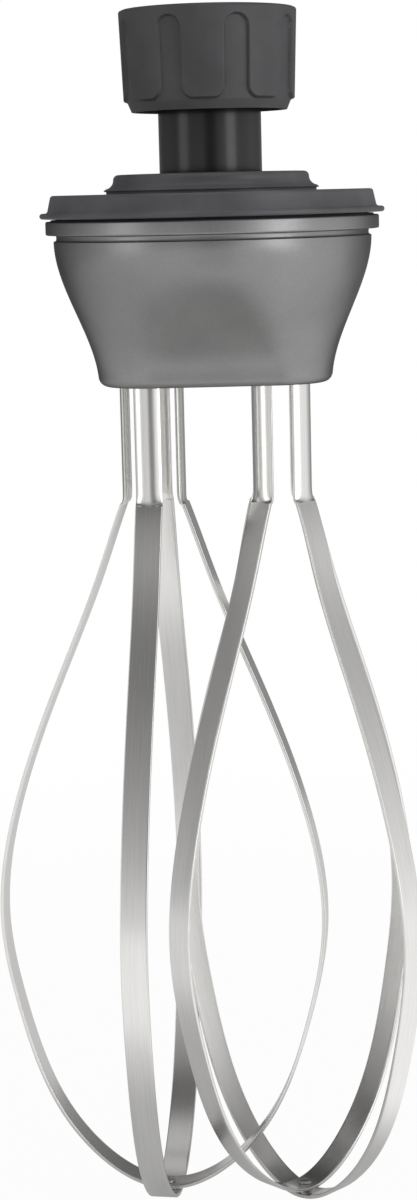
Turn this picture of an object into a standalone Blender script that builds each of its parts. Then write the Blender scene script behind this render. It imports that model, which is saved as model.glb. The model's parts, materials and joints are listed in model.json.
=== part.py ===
"""Twin whisk attachment for a stick blender.

A coupling nut turns on a neck tube, the neck stands on a stepped cover, and the cover closes a
funnel-shaped gear housing. A splined input shaft drives a layshaft gear, which drives two meshed
output gears. Each output spindle carries a hub with two crossed loops of steel strip, so the two
whisks turn against each other and their loops pass between one another.

Frame: metres, +Z up, origin on the drive axis at the neck tube's flat top face, where the motor
unit seats. The whisk axes lie along X, to the left and right of the drive axis.
"""

import math

import bmesh
import bpy
import numpy as np

MM = 0.001

# Clearances
SEAT = 0.3 * MM  # between pieces that rest on, or fit in, one another
RUN = 0.5 * MM  # between a turning piece and what it turns beside
OVERSHOOT = 1.0 * MM  # how far a cutter reaches past the face that it cuts

# Facets
ROUND = 32  # sides of the large turned pieces
SMALL_ROUND = 12  # sides of shafts, bushes and seals
SCREW_ROUND = 8  # sides of screws, rivets and bosses
HUB_ROUND = 20  # sides of the hubs and their pockets
SMOOTH_ANGLE = math.radians(32)

# Coupling nut
NUT_TOP = 14.0 * MM
NUT_HEIGHT = 28.3 * MM
NUT_TOP_RADIUS = 25.3 * MM
NUT_FOOT_RADIUS = 24.3 * MM
NUT_FOOT_CHAMFER = 0.9 * MM
NUT_FOOT_CHAMFER_HEIGHT = 2.4 * MM
NUT_WALL = 4.3 * MM
NUT_WEB = 3.0 * MM
NUT_EDGE = 0.8 * MM  # chamfer of the top rim
NUT_GRIPS = 8
NUT_GRIP_DEPTH = 1.1 * MM
NUT_GRIP_WIDTH = 7.6 * MM  # width of a groove between two fingers
NUT_RIM_BAND = 2.6 * MM  # plain band above the grooves
NUT_FINGER_FOOT = 3.1 * MM  # from the foot of the nut up to a finger's round end
NUT_GRIP_TURN = math.radians(-71.3)  # azimuth of one groove's middle
NUT_SIDE_STEP = 0.16 * MM  # run of a finger's side wall

# Neck tube
NECK_RADIUS = 14.7 * MM
NECK_LENGTH = 40.0 * MM
NECK_BORE = 9.0 * MM
NECK_LOWER_BORE = 6.5 * MM
NECK_BORE_DEPTH = 24.0 * MM
NECK_FLANGE_RADIUS = 17.8 * MM
NECK_FLANGE = 2.5 * MM
NECK_CHAMFER = 0.8 * MM
NUT_RING_THICK = 0.9 * MM
NUT_RING_DEPTH = 0.8 * MM  # depth of the groove that holds the nut's ring
NUT_RING_REACH = 2.0 * MM  # how far the ring stands out of the neck

# Top cover
COLLAR_TOP = -31.7 * MM
COLLAR_RADIUS = 28.1 * MM
COLLAR_FLARE_RADIUS = 30.9 * MM
COLLAR_HEIGHT = 4.7 * MM
COLLAR_ROUND = 1.5 * MM
FLARE_SHARE = 0.98  # how much of a quarter ellipse the collar's flare uses
SHADOW_STEP = 0.7 * MM  # undercut between the collar and the plate
PLATE_INSET = 1.5 * MM  # how far the plate stands inside the band
PLATE_FLARE = 1.0 * MM  # how much wider the plate is at its foot
PLATE_HEIGHT = 5.0 * MM
PLATE_ROUND = 1.0 * MM
LIP_OVERHANG = 1.85 * MM  # how far the lip stands out over the band
LIP_THICK = 1.6 * MM
COVER_WALL = 2.5 * MM
SPIGOT_WIDTH = 2.0 * MM
SPIGOT_DEPTH = 1.8 * MM
BEARING_RADIUS = 11.0 * MM
BEARING_WIDTH = 7.0 * MM
BEARING_DROP = 2.4 * MM  # from the neck's shelf down to the bearing
BEARING_SHIELD = 0.4 * MM  # how deep the bearing's shields are set
BEARING_CUP_WALL = 2.2 * MM
PILLAR_RADIUS = 3.0 * MM
PILLAR_INSET = 4.7 * MM  # from a pillar's middle to the spigot's inside
COVER_SCREW_INSET = 4.9 * MM  # from a screw's middle to the wall's inside
COVER_SCREW_TURN = math.radians(45)
COVER_SCREWS = 4
SCREW_RADIUS = 1.4 * MM
SCREW_LENGTH = 13.0 * MM
SCREW_HEAD_RADIUS = 3.0 * MM
SCREW_HEAD = 1.8 * MM
SCREW_DRIVE_ACROSS = 2.5 * MM
SCREW_DRIVE_DEPTH = 1.1 * MM
SCREW_SINK = 0.5 * MM  # how far the screw heads lie below the plate
SCREW_BOSS_RADIUS = 4.0 * MM
SCREW_BOSS_FLOOR = 0.9 * MM  # closed end of the housing's bosses, below the screws
HOUSING_BOSS_RADIUS = 5.2 * MM

# Gasket between cover and housing
GASKET_THICK = 1.1 * MM
GASKET_WIDTH = 2.8 * MM

# Gear housing
BAND_STEP = 2.2 * MM  # how far the band stands out from the funnel
BAND_GAP = 0.7 * MM  # open line between the lip and the band
BAND_HEIGHT = 3.9 * MM
BAND_EDGE = 0.6 * MM
BAND_GROOVE = 1.3 * MM  # height of the dark groove under the band
BAND_GROOVE_DEPTH = 0.8 * MM
RIM_WIDTH = 1.2 * MM
GEAR_ROOM = 5.2 * MM  # between the output gears' teeth and the wall
BODY_HEIGHT = 41.8 * MM
BODY_FOOT_HALF_WIDTH = 33.9 * MM
BODY_FOOT_HALF_DEPTH = 16.0 * MM
BODY_FOOT_ROUND = 2.6 * MM
UPPER_WALL = 2.0 * MM
LOWER_WALL = 2.6 * MM
POCKET_DEPTH = 12.0 * MM
POCKET_FLOOR = 2.8 * MM  # wall between the hub pockets and the gears

# Gears
MODULE = 1.25 * MM
PRESSURE_ANGLE = math.radians(20)
ADDENDUM = 0.8  # share of the module
DEDENDUM = 1.15  # share of the module
BACKLASH = 0.22 * MM  # taken off each tooth's thickness at the pitch circle
OUTPUT_TEETH = 30
PINION_TEETH = 12
LAYSHAFT_TEETH = 21
OUTPUT_FACE = 6.0 * MM
LAYSHAFT_FACE = 4.7 * MM
INPUT_FACE = 5.7 * MM

# Shafts and bearings
SHAFT_RADIUS = 4.0 * MM
JOURNAL_RADIUS = 3.0 * MM
PIN_RADIUS = 2.5 * MM
PIN_BOSS_RADIUS = 4.0 * MM
PIN_HOLD = 5.0 * MM  # length of the pin held in each boss
PLATE_THICK = 2.0 * MM
BUSH_WALL = 1.7 * MM
BUSH_LENGTH = 6.8 * MM
BUSH_BOSS_RADIUS = 9.0 * MM
SEAL_RADIUS = 7.5 * MM
SEAL_THICK = 2.5 * MM
WASHER_THICK = 0.7 * MM
CIRCLIP_THICK = 0.8 * MM
CIRCLIP_GROOVE = 0.5 * MM  # depth of its groove in a shaft
CIRCLIP_REACH = 2.0 * MM
NECK_BUSH_LENGTH = 8.0 * MM
NECK_SEAL_THICK = 3.0 * MM

# Drive dog, which the motor's hexagonal shaft end enters
DOG_RADIUS = 7.2 * MM
DOG_LENGTH = 11.3 * MM
DOG_DROP = 0.8 * MM  # below the neck's top face
DOG_HEX_ACROSS = 9.0 * MM
DOG_HEX_DEPTH = 7.0 * MM
DOG_HOLD = 3.2 * MM

# Whisk hubs
HUB_RADIUS = 11.0 * MM
HUB_SINK = 0.5 * MM  # how far the hub's face lies inside the housing's foot
HUB_SKIN = 1.8 * MM  # closed face below the spindle's bore
SLOT_DEPTH = 9.0 * MM

# Whisk loops
STRIP_WIDTH = 7.9 * MM
STRIP_THICK = 1.1 * MM
CHANNEL_WIDTH = 7.4 * MM
CHANNEL_CROWN = 1.3 * MM  # how far the rolled upper legs bulge outwards
LEG_RADIUS = 8.8 * MM
KINK_DROP = 35.2 * MM  # from the housing's foot down to the kink
KINK_LENGTH = 5.0 * MM  # length over which the rolled leg opens into flat strip
KINK_ANGLE = 0.364  # radians, from the vertical
KINK_OUT = 0.3  # how far the kink has moved out at its foot, as a share of a straight bend
ROLL_END = 0.8  # share of the kink over which the roll dies away
WIDE_REACH = 49.1 * MM
NARROW_REACH = 46.0 * MM
LOOP_DEPTH = 210.4 * MM  # from the kink down to the wide loop's lowest point
NARROW_DROP = 2.3 * MM  # how much lower the narrow loop crosses
LOOP_SHAPE = (
    # share of the loop's depth, share of its reach
    (0.10, 0.344),
    (0.25, 0.609),
    (0.42, 0.878),
    (0.60, 1.000),
    (0.74, 0.898),
    (0.86, 0.721),
    (0.95, 0.444),
)
LEG_STEPS = 1  # sections along the straight upper leg
KINK_STEPS = 3  # sections along the kink
LOOP_STEPS = 19  # sections from the kink to the lowest point
LOOP_BUNCHING = 1.45  # how much closer the sections stand towards the lowest point
STRIP_COLUMNS = 2  # facets across the strip
RIVET_RADIUS = 1.0 * MM
RIVET_HEAD_RADIUS = 2.1 * MM
RIVET_HEAD = 0.8 * MM
RIVET_CROWN = 0.7  # the head's flat top, as a share of its radius
RIVET_SHOULDER_RADIUS = 1.9 * MM

# The two whisks: the wide loop's azimuth, and how far the strips lean outwards at the bottom
LEFT_TURN = math.radians(-9.4)
RIGHT_TURN = math.radians(45.0)
LEFT_SPLAY = 1.5 * MM
RIGHT_SPLAY = 2.8 * MM
RIGHT_DROP = 1.5 * MM  # how much deeper the right whisk hangs

# Heights that follow from the sizes above
PLATE_TOP = COLLAR_TOP - COLLAR_HEIGHT - SHADOW_STEP
LIP_TOP = PLATE_TOP - PLATE_HEIGHT
LIP_FOOT = LIP_TOP - LIP_THICK
RIM_TOP = LIP_FOOT - BAND_GAP
BAND_FOOT = RIM_TOP - BAND_HEIGHT
BODY_TOP = BAND_FOOT - BAND_GROOVE - BAND_EDGE
BODY_FOOT = BODY_TOP - BODY_HEIGHT
PLATE_UNDERSIDE = PLATE_TOP - COVER_WALL
NECK_SHELF = -NECK_LENGTH - SEAT
BEARING_TOP = NECK_SHELF - COVER_WALL - SEAT - BEARING_DROP
BEARING_FOOT = BEARING_TOP - BEARING_WIDTH
CUP_FOOT = BEARING_FOOT - SEAT
INPUT_CLIP_TOP = CUP_FOOT - SEAT
INPUT_PINION_TOP = INPUT_CLIP_TOP - CIRCLIP_THICK - SEAT
INPUT_PINION_FOOT = INPUT_PINION_TOP - INPUT_FACE
LAYSHAFT_GEAR_FOOT = INPUT_PINION_FOOT
LAYSHAFT_GEAR_TOP = LAYSHAFT_GEAR_FOOT + LAYSHAFT_FACE
BEARING_PLATE_TOP = INPUT_PINION_FOOT - RUN
BEARING_PLATE_FOOT = BEARING_PLATE_TOP - PLATE_THICK
LEDGE = BEARING_PLATE_FOOT - SEAT
OUTPUT_CLIP_TOP = BEARING_PLATE_FOOT - RUN
OUTPUT_GEAR_TOP = OUTPUT_CLIP_TOP - CIRCLIP_THICK - SEAT
OUTPUT_GEAR_FOOT = OUTPUT_GEAR_TOP - OUTPUT_FACE
BUSH_TOP = OUTPUT_GEAR_FOOT - SEAT
BUSH_FOOT = BUSH_TOP - BUSH_LENGTH
BUSH_BOSS_TOP = BUSH_TOP - SEAT
SEAL_TOP = BUSH_FOOT - SEAT
POCKET_TOP = BODY_FOOT + POCKET_DEPTH
CAVITY_FLOOR = POCKET_TOP + POCKET_FLOOR
HUB_TOP = POCKET_TOP - RUN
HUB_FOOT = BODY_FOOT + HUB_SINK
STRIP_TOP = HUB_FOOT + SLOT_DEPTH - SEAT
KINK = BODY_FOOT - KINK_DROP
NUT_FOOT = NUT_TOP - NUT_HEIGHT
NUT_WEB_TOP = -NECK_FLANGE - SEAT
NUT_WEB_FOOT = NUT_WEB_TOP - NUT_WEB

# Widths that follow from the gears
WHISK_OFFSET = OUTPUT_TEETH * MODULE / 2
GEAR_REACH = WHISK_OFFSET + (OUTPUT_TEETH / 2 + ADDENDUM) * MODULE
BODY_TOP_RADIUS = GEAR_REACH + GEAR_ROOM + UPPER_WALL
BAND_RADIUS = BODY_TOP_RADIUS + BAND_STEP
LIP_RADIUS = BAND_RADIUS + LIP_OVERHANG
PLATE_RADIUS = BAND_RADIUS - PLATE_INSET
PLATE_FLARE_RADIUS = PLATE_RADIUS + PLATE_FLARE
SPIGOT_RADIUS = BODY_TOP_RADIUS - UPPER_WALL - SEAT
PILLAR_X = SPIGOT_RADIUS - SPIGOT_WIDTH - PILLAR_INSET
COVER_SCREW_CIRCLE = BODY_TOP_RADIUS - UPPER_WALL - COVER_SCREW_INSET

FINISHES = {}


def finish(name, colour, roughness, metallic=0.0):
    """Makes, once, the material that pieces of one finish share."""
    if name not in FINISHES:
        made = bpy.data.materials.new(name)
        made.use_nodes = True
        shader = made.node_tree.nodes["Principled BSDF"]
        shader.inputs["Base Color"].default_value = (*colour, 1.0)
        shader.inputs["Roughness"].default_value = roughness
        shader.inputs["Metallic"].default_value = metallic
        made.diffuse_color = (*colour, 1.0)
        FINISHES[name] = made
    return FINISHES[name]


def housing_finish():
    return finish("satin_metallic_grey", (0.16, 0.16, 0.165), 0.42, 0.6)


def cover_finish():
    return finish("satin_charcoal", (0.075, 0.073, 0.08), 0.5)


def nut_finish():
    return finish("matt_charcoal", (0.05, 0.05, 0.053), 0.6)


def neck_finish():
    return finish("gloss_black", (0.012, 0.012, 0.014), 0.22)


def strip_finish():
    return finish("brushed_stainless", (0.62, 0.61, 0.59), 0.32, 1.0)


def steel_finish():
    return finish("ground_steel", (0.55, 0.55, 0.56), 0.3, 1.0)


def spring_steel_finish():
    return finish("spring_steel", (0.12, 0.12, 0.13), 0.4, 1.0)


def bronze_finish():
    return finish("sintered_bronze", (0.42, 0.27, 0.12), 0.5, 1.0)


def rubber_finish():
    return finish("black_rubber", (0.02, 0.02, 0.02), 0.8)


def gear_finish():
    return finish("natural_acetal", (0.75, 0.74, 0.7), 0.45)


def hub_finish():
    return finish("grey_acetal", (0.3, 0.3, 0.31), 0.5)


def clear_scene():
    for old in list(bpy.data.objects):
        bpy.data.objects.remove(old, do_unlink=True)


def axis_empty(name, x, y):
    """An empty on a joint's axis, which carries everything that turns about it."""
    empty = bpy.data.objects.new(name, None)
    empty.location = (x, y, 0.0)
    bpy.context.collection.objects.link(empty)
    return empty


def place(name, vertices, faces, look, parent=None, at=(0.0, 0.0)):
    """Makes one object from a closed mesh, with its faces pointing out."""
    mesh = bpy.data.meshes.new(name)
    mesh.from_pydata([tuple(map(float, v)) for v in vertices], [], faces)
    shell = bmesh.new()
    shell.from_mesh(mesh)
    bmesh.ops.recalc_face_normals(shell, faces=shell.faces)
    shell.to_mesh(mesh)
    shell.free()
    mesh.materials.append(look)
    mesh.shade_smooth()
    mesh.set_sharp_from_angle(angle=SMOOTH_ANGLE)
    piece = bpy.data.objects.new(name, mesh)
    piece.location = (at[0], at[1], 0.0)
    piece.parent = parent
    bpy.context.collection.objects.link(piece)
    return piece


def turned_shell(profile, sides):
    """A profile of (radius, height) turned about Z. A profile that starts and ends on the axis is
    closed there, and any other is a closed ring. A facet, and no corner, faces along +X."""
    angles = (np.arange(sides) + 0.5) * 2 * math.pi / sides
    vertices, rings = [], []
    for radius, height in profile:
        first = len(vertices)
        if radius == 0:
            vertices.append((0.0, 0.0, height))
            rings.append([first] * sides)
        else:
            circle = zip(radius * np.cos(angles), radius * np.sin(angles))
            vertices += [(x, y, height) for x, y in circle]
            rings.append(list(range(first, first + sides)))
    solid = profile[0][0] == 0 and profile[-1][0] == 0
    pairs = list(zip(rings, rings[1:])) + ([] if solid else [(rings[-1], rings[0])])
    faces = []
    for low, high in pairs:
        for i in range(sides):
            j = (i + 1) % sides
            corners = [low[i], low[j], high[j], high[i]]
            faces.append(list(dict.fromkeys(corners)))
    return vertices, [face for face in faces if len(face) > 2]


def turned(name, profile, look, parent=None, at=(0.0, 0.0), sides=SMALL_ROUND):
    vertices, faces = turned_shell(profile, sides)
    return place(name, vertices, faces, look, parent, at)


def ring(name, inner, outer, low, high, look, parent=None, at=(0.0, 0.0), sides=SMALL_ROUND):
    profile = [(inner, low), (outer, low), (outer, high), (inner, high)]
    return turned(name, profile, look, parent, at, sides)


def rod(name, radius, low, high, look, parent=None, at=(0.0, 0.0), sides=SMALL_ROUND):
    profile = [(0, low), (radius, low), (radius, high), (0, high)]
    return turned(name, profile, look, parent, at, sides)


def prism(name, outline, low, high, look, parent=None, at=(0.0, 0.0)):
    """A flat outline raised from one height to another."""
    count = len(outline)
    vertices = [(x, y, low) for x, y in outline] + [(x, y, high) for x, y in outline]
    faces = [list(range(count))[::-1], list(range(count, 2 * count))]
    faces += [[i, (i + 1) % count, (i + 1) % count + count, i + count] for i in range(count)]
    return place(name, vertices, faces, look, parent, at)


def combine(piece, tool, operation):
    """Cuts a tool out of a piece, or joins it on, and keeps the tool as a hidden guide."""
    tool.hide_render = True
    tool.display_type = "WIRE"
    step = piece.modifiers.new(f"{operation.lower()} {tool.name}", "BOOLEAN")
    step.operation = operation
    step.solver = "EXACT"
    step.object = tool


def cut(piece, tool):
    combine(piece, tool, "DIFFERENCE")


def join(piece, tool):
    combine(piece, tool, "UNION")


def round_corner(centre, radius, start, end, steps):
    """Points along an arc in the plane of radius and height, from one angle to another."""
    angles = np.linspace(math.radians(start), math.radians(end), steps)
    return [(centre[0] + radius * math.cos(a), centre[1] + radius * math.sin(a)) for a in angles]


def regular_polygon(sides, across_flats, turn=0.0):
    """A polygon of a given width across its flats."""
    corner = across_flats / 2 / math.cos(math.pi / sides)
    angles = [turn + 2 * math.pi * i / sides for i in range(sides)]
    return [(corner * math.cos(a), corner * math.sin(a)) for a in angles]


def smooth_step(share):
    return share * share * (3 - 2 * share)


def screw_places():
    angles = [COVER_SCREW_TURN + 2 * math.pi * i / COVER_SCREWS for i in range(COVER_SCREWS)]
    return [(COVER_SCREW_CIRCLE * math.cos(a), COVER_SCREW_CIRCLE * math.sin(a)) for a in angles]


def pitch_radius(teeth):
    return teeth * MODULE / 2


def layshaft_place():
    """Where the layshaft stands: in mesh with the input pinion on the drive axis, and with the
    left output gear, on the side away from the front."""
    to_input = pitch_radius(PINION_TEETH) + pitch_radius(LAYSHAFT_TEETH)
    to_output = pitch_radius(PINION_TEETH) + pitch_radius(OUTPUT_TEETH)
    x = (to_output**2 - to_input**2 - WHISK_OFFSET**2) / (2 * WHISK_OFFSET)
    return x, math.sqrt(to_input**2 - x**2)


def gear_outline(teeth, phase):
    """A gear's outline: involute flanks between the root and tip circles. The flank leaves the
    base circle at no angle, and at radius r it has turned by tan(a) - a, where cos(a) is the base
    radius over r."""
    pitch = pitch_radius(teeth)
    base = pitch * math.cos(PRESSURE_ANGLE)
    tip = pitch + ADDENDUM * MODULE
    root = pitch - DEDENDUM * MODULE

    def turned_by(radius):
        angle = math.acos(min(1.0, base / max(radius, base)))
        return math.tan(angle) - angle

    half_tooth = math.pi / 2 / teeth - BACKLASH / 2 / pitch
    flank = [(r, half_tooth + turned_by(pitch) - turned_by(r)) for r in (root, pitch, tip)]
    points = []
    for tooth in range(teeth):
        middle = phase + 2 * math.pi * tooth / teeth
        side = [(r, middle - a) for r, a in flank] + [(r, middle + a) for r, a in flank[::-1]]
        points += [(r * math.cos(a), r * math.sin(a)) for r, a in side]
    return points


def meshed_phase(teeth_a, phase_a, teeth_b, direction):
    """The phase of gear b that puts its gaps on gear a's teeth, with b seen from a in the given
    direction."""
    return direction + math.pi - (phase_a - direction) * teeth_a / teeth_b - math.pi / teeth_b


def make_nut():
    """The coupling nut: a tapered ring whose grip is cut back between eight round-ended fingers
    that hang from a plain rim band. Columns run round the nut, and rows run round its section."""
    height = NUT_TOP - NUT_FOOT
    taper = (NUT_TOP_RADIUS - NUT_FOOT_RADIUS) / height
    middle = (NUT_TOP_RADIUS + NUT_FOOT_RADIUS) / 2
    pitch = 2 * math.pi / NUT_GRIPS
    groove_half = NUT_GRIP_WIDTH / 2
    finger_half = middle * pitch / 2 - groove_half
    arch_top = NUT_TOP - NUT_RIM_BAND
    finger_foot = NUT_FOOT + NUT_FINGER_FOOT
    finger_round = 0.75 * finger_half

    def in_groove(s):
        return arch_top - groove_half + math.sqrt(max(0.0, groove_half**2 - s**2))

    def in_finger(s):
        lift = math.sqrt(max(0.0, 1 - (s / finger_half) ** 2))
        return finger_foot + finger_round * (1 - lift)

    columns = []
    for share in (-0.97, -0.5, 0.5, 0.97):
        columns.append((share * groove_half, in_groove(share * groove_half)))
    reach = finger_half - NUT_SIDE_STEP
    for share in (-1.0, -0.6, 0.6, 1.0):
        s = share * reach
        columns.append((groove_half + finger_half + s, in_finger(s)))

    bore = NUT_TOP_RADIUS - NUT_WALL
    hole = NECK_RADIUS + 2 * SEAT
    vertices = []
    for grip in range(NUT_GRIPS):
        for along, edge in columns:
            angle = NUT_GRIP_TURN + grip * pitch + along / middle
            shoulder = NUT_TOP - NUT_EDGE
            chamfer = NUT_FOOT + NUT_FOOT_CHAMFER_HEIGHT
            low, side, high = [NUT_FOOT_RADIUS + taper * (z - NUT_FOOT) for z in (chamfer, edge, shoulder)]
            section = [
                (low - NUT_GRIP_DEPTH - NUT_FOOT_CHAMFER, NUT_FOOT),
                (low - NUT_GRIP_DEPTH, chamfer),
                (side - NUT_GRIP_DEPTH, edge - NUT_GRIP_DEPTH / 2),
                (side, edge),
                (high, shoulder),
                (NUT_TOP_RADIUS - NUT_EDGE, NUT_TOP),
                (bore, NUT_TOP),
                (bore, NUT_WEB_TOP),
                (hole, NUT_WEB_TOP),
                (hole, NUT_WEB_FOOT),
                (bore, NUT_WEB_FOOT),
                (bore, NUT_FOOT),
            ]
            vertices += [(r * math.cos(angle), r * math.sin(angle), z) for r, z in section]
    rows = len(section)
    total = NUT_GRIPS * len(columns)
    faces = []
    for c in range(total):
        here, there = c * rows, (c + 1) % total * rows
        for r in range(rows):
            up = (r + 1) % rows
            faces.append([here + r, there + r, there + up, here + up])
    axis = axis_empty("nut_axis", 0.0, 0.0)
    place("coupling_nut", vertices, faces, nut_finish(), axis)


def make_neck():
    """The neck tube, with the flange and the spring ring that keep the nut on it, and the bush and
    seal of the input shaft in its bore."""
    ring_top = NUT_WEB_FOOT - SEAT
    groove_top = ring_top + SEAT
    groove_foot = ring_top - NUT_RING_THICK - SEAT
    groove = NECK_RADIUS - NUT_RING_DEPTH
    profile = [
        (NECK_BORE + NECK_CHAMFER, 0.0),
        (NECK_FLANGE_RADIUS - NECK_CHAMFER, 0.0),
        (NECK_FLANGE_RADIUS, -NECK_CHAMFER),
        (NECK_FLANGE_RADIUS, -NECK_FLANGE),
        (NECK_RADIUS, -NECK_FLANGE),
        (NECK_RADIUS, groove_top),
        (groove, groove_top),
        (groove, groove_foot),
        (NECK_RADIUS, groove_foot),
        (NECK_RADIUS, -NECK_LENGTH),
        (NECK_LOWER_BORE, -NECK_LENGTH),
        (NECK_LOWER_BORE, -NECK_BORE_DEPTH),
        (NECK_BORE, -NECK_BORE_DEPTH),
        (NECK_BORE, -NECK_CHAMFER),
    ]
    turned("neck_tube", profile, neck_finish(), sides=ROUND)
    ring_low = ring_top - NUT_RING_THICK
    ring_high = NECK_RADIUS + NUT_RING_REACH
    look = spring_steel_finish()
    ring("nut_retaining_ring", groove + SEAT, ring_high, ring_low, ring_top, look, sides=ROUND)
    fit = NECK_BORE - SEAT
    bush_foot = -NECK_BORE_DEPTH + SEAT
    bush_top = bush_foot + NECK_BUSH_LENGTH
    ring("neck_bush", SHAFT_RADIUS + SEAT, fit, bush_foot, bush_top, bronze_finish())
    seal_foot = bush_top + SEAT
    seal_top = seal_foot + NECK_SEAL_THICK
    ring("shaft_seal", SHAFT_RADIUS + SEAT, fit, seal_foot, seal_top, rubber_finish())


def cover_profile():
    """The cover's section: collar, undercut, plate and lip outside, and even walls inside."""
    flare_foot = COLLAR_TOP - COLLAR_HEIGHT
    flare_top = COLLAR_TOP - COLLAR_ROUND
    collar = round_corner((COLLAR_RADIUS - COLLAR_ROUND, flare_top), COLLAR_ROUND, 90, 0, 3)
    flare = []
    for share in (0.6, 1.0):
        # a quarter of an ellipse, hollow outwards
        out = (COLLAR_FLARE_RADIUS - COLLAR_RADIUS) * (1 - math.sqrt(1 - (FLARE_SHARE * share) ** 2))
        flare.append((COLLAR_RADIUS + out, flare_top + (flare_foot + SHADOW_STEP - flare_top) * share))
    plate_centre = (PLATE_RADIUS - PLATE_ROUND, PLATE_TOP - PLATE_ROUND)
    plate = round_corner(plate_centre, PLATE_ROUND, 90, 0, 2)
    half_lip = LIP_THICK / 2
    lip = round_corner((LIP_RADIUS - half_lip, LIP_TOP - half_lip), half_lip, 90, -90, 3)
    spigot = SPIGOT_RADIUS
    spigot_foot = LIP_FOOT - SPIGOT_DEPTH
    sleeve = NECK_RADIUS + SEAT + COVER_WALL
    shelf_foot = NECK_SHELF - COVER_WALL
    cup = BEARING_RADIUS + SEAT
    shaft_hole = NECK_LOWER_BORE + SEAT
    return (
        collar
        + flare
        + [(COLLAR_FLARE_RADIUS, flare_foot)]
        + [(COLLAR_FLARE_RADIUS - SHADOW_STEP, flare_foot)]
        + [(COLLAR_FLARE_RADIUS - SHADOW_STEP, PLATE_TOP)]
        + plate
        + [(PLATE_FLARE_RADIUS, LIP_TOP)]
        + lip
        + [
            (spigot, LIP_FOOT),
            (spigot, spigot_foot),
            (spigot - SPIGOT_WIDTH, spigot_foot),
            (spigot - SPIGOT_WIDTH, PLATE_UNDERSIDE),
            (COLLAR_RADIUS - COVER_WALL, PLATE_UNDERSIDE),
            (COLLAR_RADIUS - COVER_WALL, COLLAR_TOP - COVER_WALL),
            (sleeve, COLLAR_TOP - COVER_WALL),
            (sleeve, shelf_foot),
            (cup + BEARING_CUP_WALL, shelf_foot),
            (cup + BEARING_CUP_WALL, CUP_FOOT),
            (cup, CUP_FOOT),
            (cup, BEARING_TOP + SEAT),
            (shaft_hole, BEARING_TOP + SEAT),
            (shaft_hole, NECK_SHELF),
            (NECK_RADIUS + SEAT, NECK_SHELF),
            (NECK_RADIUS + SEAT, COLLAR_TOP),
        ]
    )


def make_cover():
    """The stepped top cover. Below it stand the cup of the input bearing, a boss for the layshaft
    pin, bosses for the screws and the pillars that hold the bearing plate down."""
    cover = turned("top_cover", cover_profile(), cover_finish(), sides=ROUND)
    pillar_top = PLATE_UNDERSIDE + OVERSHOOT
    for i, x in enumerate((-PILLAR_X, PILLAR_X)):
        foot = BEARING_PLATE_TOP + SEAT
        join(cover, rod(f"pillar_{i}", PILLAR_RADIUS, foot, pillar_top, cover_finish(), at=(x, 0.0)))
    pin = layshaft_place()
    boss_foot = LAYSHAFT_GEAR_TOP + SEAT + WASHER_THICK + SEAT
    boss_top = COLLAR_TOP - COVER_WALL / 2
    join(cover, rod("pin_boss", PIN_BOSS_RADIUS, boss_foot, boss_top, cover_finish(), at=pin))
    hole_top = boss_foot + PIN_HOLD
    pin_hole = PIN_RADIUS + SEAT
    cut(cover, rod("pin_hole", pin_hole, boss_foot - OVERSHOOT, hole_top, cover_finish(), at=pin))
    spigot_foot = LIP_FOOT - SPIGOT_DEPTH
    head_seat = PLATE_TOP - SCREW_SINK - SCREW_HEAD - SEAT
    for i, spot in enumerate(screw_places()):
        look = cover_finish()
        boss_foot = spigot_foot + SEAT
        name, radius = f"screw_boss_{i}", SCREW_BOSS_RADIUS
        join(cover, rod(name, radius, boss_foot, pillar_top, look, at=spot, sides=SCREW_ROUND))
        wide, narrow = SCREW_HEAD_RADIUS + SEAT, SCREW_RADIUS + SEAT
        high, low = PLATE_TOP + OVERSHOOT, spigot_foot - OVERSHOOT
        hole = [(0, low), (narrow, low), (narrow, head_seat), (wide, head_seat), (wide, high), (0, high)]
        cut(cover, turned(f"screw_hole_{i}", hole, look, at=spot, sides=SCREW_ROUND))


def make_screws():
    """Four socket-head screws, sunk in the plate, which hold the cover on the housing."""
    seat = PLATE_TOP - SCREW_SINK - SCREW_HEAD
    top = seat + SCREW_HEAD
    foot = seat - SCREW_LENGTH
    tip = SCREW_RADIUS / 2
    for i, spot in enumerate(screw_places()):
        profile = [
            (0, foot),
            (tip, foot),
            (SCREW_RADIUS, foot + tip),
            (SCREW_RADIUS, seat),
            (SCREW_HEAD_RADIUS, seat),
            (SCREW_HEAD_RADIUS, top),
            (0, top),
        ]
        screw = turned(f"cover_screw_{i + 1}", profile, steel_finish(), at=spot, sides=SCREW_ROUND)
        hexagon = regular_polygon(6, SCREW_DRIVE_ACROSS)
        low = top - SCREW_DRIVE_DEPTH
        cut(screw, prism(f"screw_drive_{i}", hexagon, low, top + OVERSHOOT, steel_finish(), at=spot))


def make_gasket():
    foot = RIM_TOP - BAND_GAP + SEAT
    outer = BAND_RADIUS - RIM_WIDTH - SEAT
    look = rubber_finish()
    ring("cover_gasket", outer - GASKET_WIDTH, outer, foot, LIP_FOOT - SEAT, look, sides=ROUND)


def body_section(height):
    """The funnel's section at a height, as (stretch, radius): a circle cut in two halves that stand
    a stretch to either side of the middle, so it is round above and obround at the foot."""
    ease = smooth_step((BODY_TOP - height) / BODY_HEIGHT)
    foot_stretch = BODY_FOOT_HALF_WIDTH - BODY_FOOT_HALF_DEPTH
    radius = BODY_TOP_RADIUS + (BODY_FOOT_HALF_DEPTH - BODY_TOP_RADIUS) * ease
    return foot_stretch * ease, radius


def stretched_circle(stretch, radius):
    """A circle's points with its left and right halves moved apart by the stretch. No point stands
    at the front or the back, so the straight sides come of themselves."""
    points = []
    for i in range(ROUND):
        angle = 2 * math.pi * (i + 0.5) / ROUND
        side = math.copysign(stretch, math.cos(angle))
        points.append((side + radius * math.cos(angle), radius * math.sin(angle)))
    return points


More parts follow.
